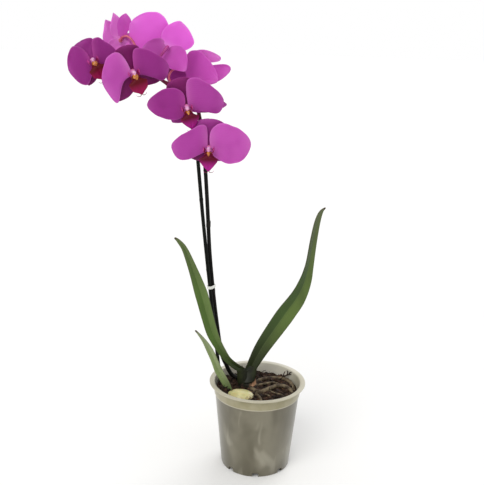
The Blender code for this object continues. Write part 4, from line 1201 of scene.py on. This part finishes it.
# Each flower's hub, how it is turned, nodded and rolled (degrees), how far along the spike its stalk grows,
# the places that its stalk passes on the way, and what its blades change. The list goes up the spike's
# front row (1 to 4) and then along the back row (5 to 7), where flower 5 shows one more narrow blade.
FLOWERS = [
    dict(
        centre=(-62.8, -42, 411.2), turn=0, nod=4, roll=0, node=330,
        blades=dict(
            petal_left=dict(angle=181, length=38, upper=(21.5, 0.14), lower=(15, 0.7)),
            petal_right=dict(angle=5.5, length=42.5, upper=(23.5, 0.35), lower=(20, 0.55)),
            sepal_top=dict(angle=89.5, length=26.5, upper=(17, 0.7), lower=(17, 0.7)),
            sepal_left=dict(angle=203, length=24),
            sepal_right=dict(angle=337, length=24),
        ),
    ),
    dict(
        centre=(-88.7, -30, 454), turn=8, nod=5, roll=15, node=363,
        blades=dict(
            petal_left=dict(angle=165, length=39.4, upper=(18.5, 0.38), lower=(13.5, 0.4)),
            petal_right=dict(angle=-7.5, length=38, upper=(27.5, 0.21), lower=(12, 0.76)),
            sepal_top=dict(angle=96.5, length=27.3, upper=(14.5, 0.72), lower=(14.5, 0.72)),
            sepal_left=dict(angle=217, length=21, upper=(9, 0.5), lower=(9, 0.5)),
            sepal_right=dict(angle=345, length=42, upper=(9, 0.5), lower=(7, 0.5)),
        ),
    ),
    dict(
        centre=(-146.8, -36, 490.8), turn=18, nod=5, roll=20, node=429,
        blades=dict(
            petal_left=dict(angle=186.5, length=31.5, upper=(24.5, 0.29), lower=(24.5, 0.84)),
            petal_right=dict(angle=-13.5, length=37, upper=(21.5, 0.19), lower=(13.5, 0.78)),
            sepal_top=dict(angle=84.5, length=23.5, upper=(13.5, 0.75), lower=(13.5, 0.75)),
            sepal_left=dict(angle=227.5, length=33, upper=(9.5, 0.5), lower=(9.5, 0.5)),
            sepal_right=dict(angle=319.5, length=30, upper=(8.5, 0.5), lower=(8.5, 0.5)),
        ),
    ),
    dict(
        centre=(-194.8, -12, 499.7), turn=16, nod=-8, roll=26, node=453,
        via=[(-171.8, 4, 502.5), (-184.5, 5, 499.5)],
        blades=dict(
            petal_left=dict(angle=180.5, length=24.5, upper=(19.8, 0.4), lower=(20.4, 0.6)),
            petal_right=dict(angle=-21.5, length=27.5, upper=(21.5, 0.19), lower=(8, 0.6)),
            sepal_top=dict(angle=95.5, length=20, upper=(13.5, 0.75), lower=(13.5, 0.75)),
            sepal_left=dict(angle=235.5, length=24, upper=(8, 0.5), lower=(8, 0.5)),
            sepal_right=dict(angle=318, length=22, lean=-0.4, upper=(8, 0.5), lower=(8, 0.5)),
        ),
    ),
    dict(
        centre=(-166.9, 18, 520.6), turn=180, nod=0, roll=0, node=440,
        via=[(-149.6, 7, 516.1), (-154.4, 10, 522.4), (-159.7, 12, 525.4), (-164.5, 14, 524.1)],
        blades=dict(
            petal_right=dict(angle=52, length=24, upper=(5, 0.5), lower=(18, 0.14), tip=0.7),
            petal_left=dict(angle=195, length=16, upper=(8, 0.4), lower=(8, 0.5)),
            sepal_top=dict(angle=103, length=26.5, upper=(7, 0.6), lower=(7.5, 0.66), tip=0.7, cup=0.5),
            sepal_edge=dict(angle=76, length=27, upper=(5.5, 0.6), lower=(6.5, 0.4), tip=0.85, lean=-0.05),
            sepal_left=dict(angle=226, length=12, upper=(5, 0.6), lower=(5, 0.6)),
            sepal_right=dict(angle=312, length=13, upper=(7, 0.5), lower=(5.5, 0.6)),
        ),
    ),
    dict(
        centre=(-114.4, 15, 513.3), turn=180, nod=0, roll=0, node=418,
        via=[(-124.9, 6, 498.1)],
        blades=dict(
            petal_right=dict(angle=34.4, length=45, upper=(25.5, 0.52), lower=(20, 0.5)),
            petal_left=dict(angle=165, length=16, lean=0.6, upper=(9.5, 0.6), lower=(9, 0.4)),
            sepal_top=dict(angle=118, length=30, upper=(11, 0.45), lower=(23.5, 0.5), tip=0.6),
            sepal_left=dict(angle=228, length=29, upper=(13, 0.4), lower=(11.5, 0.35), lean=-0.25),
            sepal_right=dict(angle=355, length=24, upper=(10, 0.4), lower=(12, 0.4), tip=0.5),
        ),
    ),
    dict(
        centre=(-99.8, 32, 492.5), turn=180, nod=0, roll=0, node=400,
        via=[(-112.1, 14, 482.2), (-108.5, 19, 488.7)],
        blades=dict(
            sepal_left=dict(angle=200, length=42, upper=(21.5, 0.28), lower=(11, 0.42), tip=0.52),
            petal_right=dict(angle=140, length=38.7, droop=0.53, upper=(9, 0.7), lower=(9, 0.7)),
            petal_left=dict(angle=205, length=50, droop=-0.4, upper=(11, 0.75), lower=(13, 0.75), lean=0.3),
            sepal_top=dict(angle=95, length=10, upper=(5, 0.6), lower=(5, 0.6)),
            sepal_right=dict(angle=298, length=20, upper=(11, 0.55), lower=(11, 0.5)),
        ),
    ),
]

# The painted light level of each flower, and that of each blade that differs from it. The darker levels are
# painted shade on flowers and sepals in shadow, and the brighter ones are painted light through the blades of
# the back flowers.
USUAL_LIGHT_LEVEL = {1: "front", 2: "mid", 3: "front", 4: "shaded", 5: "pale", 6: "lit", 7: "backlit"}
OTHER_LIGHT_LEVEL = {
    1: dict(petal_left="mid", sepal_top="shaded", sepal_left="deep_shade", sepal_right="deep_shade"),
    2: dict(petal_left="shaded", sepal_top="deep_shade", sepal_left="shaded"),
    3: dict(petal_right="shaded", sepal_top="deep_shade", sepal_left="deep_shade", sepal_right="deep_shade"),
    4: dict(sepal_top="shaded", sepal_left="deep_shade", sepal_right="deep_shade"),
    5: dict(sepal_top="backlit"),
    6: dict(petal_left="backlit", sepal_left="backlit", sepal_right="front"),
    7: dict(petal_right="pale", sepal_right="shaded"),
}


def own_axes(flower):
    """The flower's own axes as a matrix: it faces its local -Y, with its top sepal up its local Z."""
    turn = Matrix.Rotation(math.radians(flower["turn"]), 4, "Z")
    nod = Matrix.Rotation(math.radians(flower["nod"]), 4, "X")
    roll = Matrix.Rotation(math.radians(-flower["roll"]), 4, "Y")
    return Matrix.Translation(Vector(flower["centre"])) @ turn @ nod @ roll


def edge_distance(edge, tip, t):
    """How far one edge of a blade is from its middle line, from the claw (t = 0) to the tip (t = 1)."""
    half, widest = edge
    power = math.log(0.5) / math.log(widest)
    return half * max(math.sin(math.pi * t**power), 0.0) ** tip + CLAW * (1.0 - t) ** 2


def blade_grid(axes, blade, lift, rows, columns, seed):
    """Points of a petal or sepal, from its claw beside the stalk to its rounded tip, with a soft ruffle."""
    angle = math.radians(blade["angle"])
    along = Vector((math.cos(angle), 0.0, math.sin(angle)))
    across = Vector((-math.sin(angle), 0.0, math.cos(angle)))
    front = Vector((0.0, -1.0, 0.0))
    length = blade["length"]
    ahead, behind = (blade["upper"], blade["lower"]) if along.x > 0.0 else (blade["lower"], blade["upper"])
    grid = []
    for row in range(rows + 1):
        t = 0.5 - 0.5 * math.cos(math.pi * row / rows)
        reach = HUB_RADIUS - 2.2 * (1.0 - t) ** 6 + length * t
        middle = along * reach + across * blade["droop"] * length * t**2
        middle += front * (lift + length * (blade["lean"] * t - blade["bend"] * t**2))
        line = []
        for share in side_shares(columns + 1):
            uneven = 1.0 + 0.06 * noise.noise(Vector((4.5 * t, math.copysign(2.0, share), seed)))
            side = share * edge_distance(ahead if share > 0.0 else behind, blade["tip"], t) * uneven
            depth = blade["cup"] * side**2 / length
            spot = along * t + across * share * 0.6 + Vector((0.0, seed, 0.0))
            ruffle = (1.5 * abs(share) ** 2.5 + 0.8 * t**3) * noise.noise(spot * 2.6)
            dish = 1.3 * noise.noise(spot * 1.6 + Vector((9.0, 0.0, 0.0))) * math.sin(math.pi * t)
            line.append(axes @ (middle + across * side + front * (depth + ruffle + dish)))
        grid.append(line)
    return grid


def petal_finish(name, heart, body, edge, vein):
    """Velvety petal skin, in colours from its heart outwards, with darker veins and a light rim."""
    made, tree, shader = new_material(
        name,
        {
            "Roughness": 0.52,
            "Specular IOR Level": 0.18,
            "Subsurface Weight": 0.22,
            "Subsurface Radius": (1.0, 0.3, 0.8),
            "Subsurface Scale": 0.0016,
            "Sheen Weight": 0.05,
            "Sheen Roughness": 0.4,
            "Sheen Tint": (1.0, 0.72, 0.95, 1.0),
        },
    )
    across, along = surface_place(tree)
    place = object_place(tree)
    off_middle = distance_from(tree, across, 0.5)
    cover = mix(tree, fade(tree, along, 0.0, 0.34), heart, body)
    cover = mix(tree, cloud(tree, place, 45.0, 1.5, 0.42, 0.7, 0.3), cover, vein)
    cover = mix(tree, fade(tree, along, 0.6, 1.0, 0.4), cover, edge)
    veins = fine_lines(tree, 9.0, 2.2)
    quiet = combine(tree, "MULTIPLY", fade(tree, along, 1.0, 0.55), fade(tree, veins, 0.55, 1.0, 0.13))
    cover = mix(tree, quiet, cover, vein)
    side_rim = fade(tree, off_middle, 0.455, 0.499, 0.42)
    cover = mix(tree, combine(tree, "MAXIMUM", side_rim, fade(tree, along, 0.965, 0.999, 0.42)), cover, edge)
    paint(tree, shader, cover)
    cells = grain(tree, place, 1000.0, 1.0)
    relief(tree, shader, combine(tree, "ADD", combine(tree, "MULTIPLY", veins, 0.35), cells), 0.12, 0.1)
    return made


# The colours of each painted light level at its heart, over its body, along its edge and in its veins. They
# are one petal colour at different strengths of light: the darker levels are painted shade, and the brighter
# ones are painted light coming through the petals. The hearts are lighter, partly as the petal's own paler
# base and partly as a painted glow.
PETAL_COLOURS = {
    "front": ((208, 116, 192), (188, 80, 174), (208, 118, 196), (160, 52, 148)),
    "mid": ((186, 92, 168), (168, 62, 154), (196, 102, 184), (140, 36, 126)),
    "shaded": ((170, 66, 148), (148, 42, 132), (188, 92, 174), (122, 20, 106)),
    "deep_shade": ((118, 8, 86), (112, 8, 88), (170, 62, 144), (92, 2, 68)),
    "lit": ((246, 156, 236), (230, 106, 220), (236, 146, 230), (206, 76, 194)),
    "pale": ((230, 146, 216), (220, 116, 208), (224, 152, 216), (194, 84, 180)),
    "backlit": ((212, 100, 196), (202, 84, 188), (222, 126, 212), (170, 50, 154)),
}

petal_light_levels = {
    name: petal_finish(f"petal_{name}", *(tone(*colour) for colour in colours))
    for name, colours in PETAL_COLOURS.items()
}
flower_axes = {}
for number, flower in enumerate(FLOWERS, start=1):
    flower_axes[number] = own_axes(flower)
    for part in [*BLADES, *(extra for extra in flower["blades"] if extra not in BLADES)]:
        blade = dict(BLADES.get(part, SEPAL), **flower["blades"][part])
        lift = PETAL_LIFT if part.startswith("petal") else SEPAL_LIFT
        seed = 3.7 * number + blade["angle"] * 0.05
        grid = blade_grid(flower_axes[number], blade, lift, 44, 30, seed)
        name = f"flower_{number}_{part}_skin"
        # Each blade takes the petal colour at its painted light level: darker in shade, or brighter where
        # light comes through.
        finish = petal_light_levels[OTHER_LIGHT_LEVEL[number].get(part, USUAL_LIGHT_LEVEL[number])]
        mesh = welded(mesh_of(name, [blade_part(grid, PETAL_THICKNESS, 5.0, 0.05)]))
        finish_piece(name, mesh, finish, [f"flower_{number}_{part}"] if part in BLADES else [])


# ---------------------------------------------------------------- lips
# The lip is the flower's third petal: a fleshy trough whose two side lobes stand up beside the column,
# with a golden knob in its throat and an arrow-shaped front lobe that ends in two thin curled tendrils.

# Rows of forward, down, half width and curl (degrees) along the lip: throat, side lobes, front lobe.
LIP_ROWS = [
    (2, 3.8, 1.8, 20),
    (6, 4.6, 6.4, 75),
    (10, 6, 8.4, 74),
    (12.5, 8, 9.6, 44),
    (13.5, 10.5, 10.4, 24),
    (13.5, 13.5, 9.6, 12),
    (13, 18, 5.5, 8),
    (12, 22.5, 2.2, 10),
    (10.5, 25, 0.5, 10),
]
LIP_THICKNESS = 1.0
LOBE_THICKNESS = 0.7

# Flowers 3 and 4 have a rounder, fuller lip than the rest, with a larger knob.
ROUND_LIPS = (3, 4)

# Rows of x, y, z and radius or half width in the flower's own axes.
KNOB_ROWS = [(0, -6.5, -4.6, 1.5), (0, -8.6, -4.4, 1.9), (0, -10.6, -5.2, 1.7), (0, -12, -6.8, 0.9)]
SIDE_LOBE_ROWS = [(4.2, -4.8, -3.6, 2.4), (5.6, -6.4, -2, 3.2), (6.2, -8.2, -0.2, 2.9), (5.6, -9.6, 1.2, 1.2)]
TENDRIL_ROWS = [
    (0.3, -10.6, -24.4, 0.4),
    (1.6, -9.4, -26.2, 0.34),
    (4.2, -8.6, -26.4, 0.26),
    (6.0, -9.2, -24.4, 0.16),
]


def lip_grid(axes, rows, columns, fullness):
    """Points of the lip: each cross-section is an arc that curls up beside the column."""
    smooth = smooth_rows(LIP_ROWS, rows + 1)
    smooth[:, 2] += fullness * np.exp(-(((smooth[:, 1] - 18.5) / 3.6) ** 2))
    path = np.column_stack([np.zeros(rows + 1), -smooth[:, 0], -smooth[:, 1]])
    grid = []
    for point, forward, half, curl in zip(path, directions(path), smooth[:, 2], smooth[:, 3]):
        inward = Vector((1.0, 0.0, 0.0)).cross(Vector(forward))
        curl = math.radians(curl)
        radius = half / curl
        line = []
        for share in side_shares(columns + 1):
            side = Vector((radius * math.sin(curl * share), 0.0, 0.0))
            keel = 0.5 * math.exp(-((share / 0.12) ** 2))
            lump = 0.35 * noise.noise(Vector((share * 3.0, point[2] / 4.0, 1.0)))
            rise = inward * (radius * (1.0 - math.cos(curl * share)) + keel + lump)
            line.append(axes @ (Vector(point) + side + rise))
        grid.append(line)
    return grid


def side_lobe_grid(axes, side):
    """Points of one side lobe: a small ear that stands up beside the column and turns its tip inwards."""
    smooth = smooth_rows(SIDE_LOBE_ROWS, 26)
    ahead = directions(smooth[:, :3])
    grid = []
    for (x, y, z, half), forward in zip(smooth, ahead):
        forward = Vector(forward)
        flat = forward.cross(Vector((1.0, 0.0, 0.0))).normalized()
        line = []
        for share in side_shares(19):
            cup = Vector((-0.8 * share**2, 0.0, 0.0))
            spot = Vector((x, y, z)) + flat * share * half + cup
            line.append(axes @ Vector((spot.x * side, spot.y, spot.z)))
        grid.append(line if side > 0 else line[::-1])
    return grid


def plant_rows(axes, rows, side=1.0):
    """Rows of x, y, z and radius given in the flower's axes, taken to the plant's. Side -1 mirrors them."""
    return [(*(axes @ Vector((x * side, y, z))), radius) for x, y, z, radius in rows]


def lip_finish(name, upper, edge, lower):
    """Matt, fleshy lip skin: speckled in the throat, then crimson, and brighter on the front lobe."""
    flesh = {"Roughness": 0.5, "Specular IOR Level": 0.14}
    flesh.update({"Subsurface Weight": 0.12, "Subsurface Scale": 0.001})
    made, tree, shader = new_material(name, flesh)
    across, along = surface_place(tree)
    place = object_place(tree)
    off_middle = distance_from(tree, across, 0.5)
    throat = mix(tree, cloud(tree, place, 420.0, 2.0, 0.42, 0.58), tone(168, 84, 36), tone(112, 16, 30))
    cover = mix(tree, fade(tree, along, 0.1, 0.24), throat, upper)
    cover = mix(tree, fade(tree, off_middle, 0.34, 0.5, 0.5), cover, edge)
    cover = mix(tree, fade(tree, along, 0.5, 0.84), cover, lower)
    veins = fine_lines(tree, 5.0, 1.5)
    cover = mix(tree, fade(tree, veins, 0.6, 1.0, 0.1), cover, tone(84, 2, 40))
    paint(tree, shader, cover)
    relief(tree, shader, combine(tree, "ADD", veins, grain(tree, place, 1500.0, 2.0)), 0.2, 0.15)
    return made


lip_skin = lip_finish("lip_skin", tone(90, 2, 34), tone(128, 8, 76), tone(168, 28, 134))
deep_lip_skin = lip_finish("deep_lip_skin", tone(92, 6, 22), tone(112, 6, 40), tone(150, 12, 76))

lobe_skin, tree, shader = new_material("side_lobe_skin", {"Roughness": 0.5, "Specular IOR Level": 0.2})
stripes = fine_lines(tree, 3.4, 0.6)
cover = mix(tree, fade(tree, surface_place(tree)[1], 0.2, 0.9), tone(150, 34, 84), tone(188, 62, 142))
cover = mix(tree, fade(tree, stripes, 0.5, 0.9, 0.3), cover, tone(112, 8, 60))
paint(tree, shader, cover)
relief(tree, shader, stripes, 0.3, 0.15)

gloss = {"Roughness": 0.24, "Coat Weight": 0.5, "Coat Roughness": 0.1}
knob_skin, tree, shader = new_material("golden_knob", gloss)
place = object_place(tree)
spots = add_node(tree, "ShaderNodeTexVoronoi", {"Vector": place, "Scale": 900.0})["Distance"]
cover = mix(tree, cloud(tree, place, 500.0, 3.0, 0.4, 0.6), tone(214, 140, 44), tone(164, 84, 30))
cover = mix(tree, fade(tree, spots, 0.36, 0.22, 0.8), cover, tone(110, 22, 20))
paint(tree, shader, cover)
relief(tree, shader, spots, 0.4, 0.2)

for number, axes in flower_axes.items():
    full = number in ROUND_LIPS
    name = f"flower_{number}_lip_skin"
    lip = blade_part(lip_grid(axes, 70, 34, 3.4 if full else 0.9), LIP_THICKNESS, 5.0, 0.04)
    skin = deep_lip_skin if full else lip_skin
    finish_piece(name, welded(mesh_of(name, [lip])), skin, [f"flower_{number}_lip"])
    name = f"flower_{number}_side_lobes"
    lobes = [blade_part(side_lobe_grid(axes, side), LOBE_THICKNESS, 4.0, 0.08) for side in (-1.0, 1.0)]
    finish_piece(name, welded(mesh_of(name, lobes)), lobe_skin)
    name = f"flower_{number}_knob"
    knob_rows = smooth_rows(plant_rows(axes, KNOB_ROWS), 26)
    knob_rows[:, 3] *= 1.6 if full else 1.0
    finish_piece(name, mesh_of(name, [tube_part(knob_rows, 20, 0.3, 1.6)]), knob_skin)
    name = f"flower_{number}_tendrils"
    tendrils = [tube_part(smooth_rows(plant_rows(axes, TENDRIL_ROWS, side), 26), 10) for side in (-1.0, 1.0)]
    finish_piece(name, mesh_of(name, tendrils), lip_skin)


# ---------------------------------------------------------------- stalks and columns
# A slim pink stalk carries each flower. It thickens to the ovary, passes through the hub of the blades and
# ends in the column, whose tip bears a pale cap over the pollen.

STALK_RADIUS = 1.25
STALK_FOOT_RADIUS = 1.8
STALK_GAP = 1.05

# Rows of y, z and radius in the flower's own axes, from the ovary to the column's tip.
COLUMN_ROWS = ((6.5, 0.0, 1.9), (1.0, 0.0, 2.3), (-4.0, -0.6, 2.6), (-7.5, -1.6, 2.5), (-9.5, -2.4, 1.2))
CAP_ROWS = [(0, -8, 0.4, 1.3), (0, -9.4, 0.2, 1.9), (0, -10.7, -0.8, 1.7), (0, -11.3, -2, 0.8)]


def stalk_rows(axes, node, via):
    """Rows of the stalk: from beside the spike, through the hub of the flower, to the column's tip."""
    start, spike_radius, ahead = Vector(node[:3]), node[3], Vector(node[4:])
    behind = axes @ Vector((0.0, 13.0, 0.0))
    leave = (Vector(via[0]) if via else behind) - start
    leave = (leave - leave.dot(ahead) * ahead).normalized()
    first = start + leave * (spike_radius + STALK_GAP)
    halfway = (first + leave * 8.0 + behind) * 0.5 + Vector((0.0, 0.0, 2.0))
    way = [Vector(place) for place in via] or [halfway, behind]
    rows = [(*(first - leave * 1.6), STALK_FOOT_RADIUS)]
    rows += [(*place, STALK_RADIUS) for place in (first + leave * 2.5, *way)]
    return rows + plant_rows(axes, [(0.0, *row) for row in COLUMN_ROWS])


def stalk_finish(name, light, dark):
    """Smooth, slightly fleshy stalk skin with faint furrows, paler on the column and duller at its foot."""
    flesh = {"Roughness": 0.45, "Specular IOR Level": 0.35}
    flesh.update({"Subsurface Weight": 0.2, "Subsurface Scale": 0.002})
    made, tree, shader = new_material(name, flesh)
    along = surface_place(tree)[1]
    place = object_place(tree)
    cover = mix(tree, cloud(tree, place, 130.0, 3.0, 0.35, 0.65), light, dark)
    cover = mix(tree, fade(tree, along, 0.55, 0.8), cover, tone(222, 140, 196))
    cover = mix(tree, fade(tree, along, 0.16, 0.0, 0.6), cover, tone(120, 44, 62))
    furrows = fine_lines(tree, 1.6, 0.3)
    cover = mix(tree, fade(tree, furrows, 0.6, 1.0, 0.25), cover, dark)
    paint(tree, shader, cover)
    relief(tree, shader, furrows, 0.3, 0.2)
    return made


stalk_skin = stalk_finish("stalk_skin", tone(208, 104, 126), tone(182, 70, 104))
deep_stalk_skin = stalk_finish("deep_stalk_skin", tone(184, 70, 150), tone(160, 46, 126))

wax = {"Roughness": 0.4, "Coat Weight": 0.1, "Subsurface Weight": 0.2, "Subsurface Scale": 0.001}
cap_skin, tree, shader = new_material("pollen_cap", wax)
place = object_place(tree)
cover = mix(tree, cloud(tree, place, 420.0, 3.0, 0.35, 0.65), tone(230, 180, 214), tone(206, 130, 184))
paint(tree, shader, cover)
relief(tree, shader, grain(tree, place, 1600.0, 2.0), 0.2, 0.1)

# Each flower's stalk starts at a node of the spike: x, y, z, radius and the spike's direction there.
spike_nodes = np.hstack([spike_line, spike_ahead])
for number, flower in enumerate(FLOWERS, start=1):
    axes = flower_axes[number]
    node = spike_nodes[np.searchsorted(spike_lengths, flower["node"])]
    rows = smooth_rows(stalk_rows(axes, node, flower.get("via", [])), 110)
    name = f"flower_{number}_stalk_skin"
    skin = deep_stalk_skin if number == 6 else stalk_skin
    stalk = mesh_of(name, [tube_part(rows, 22, 0.06, 3.0)])
    finish_piece(name, stalk, skin, [f"flower_{number}_stalk"])
    name = f"flower_{number}_pollen_cap"
    cap = tube_part(smooth_rows(plant_rows(axes, CAP_ROWS), 24), 20)
    finish_piece(name, mesh_of(name, [cap]), cap_skin)
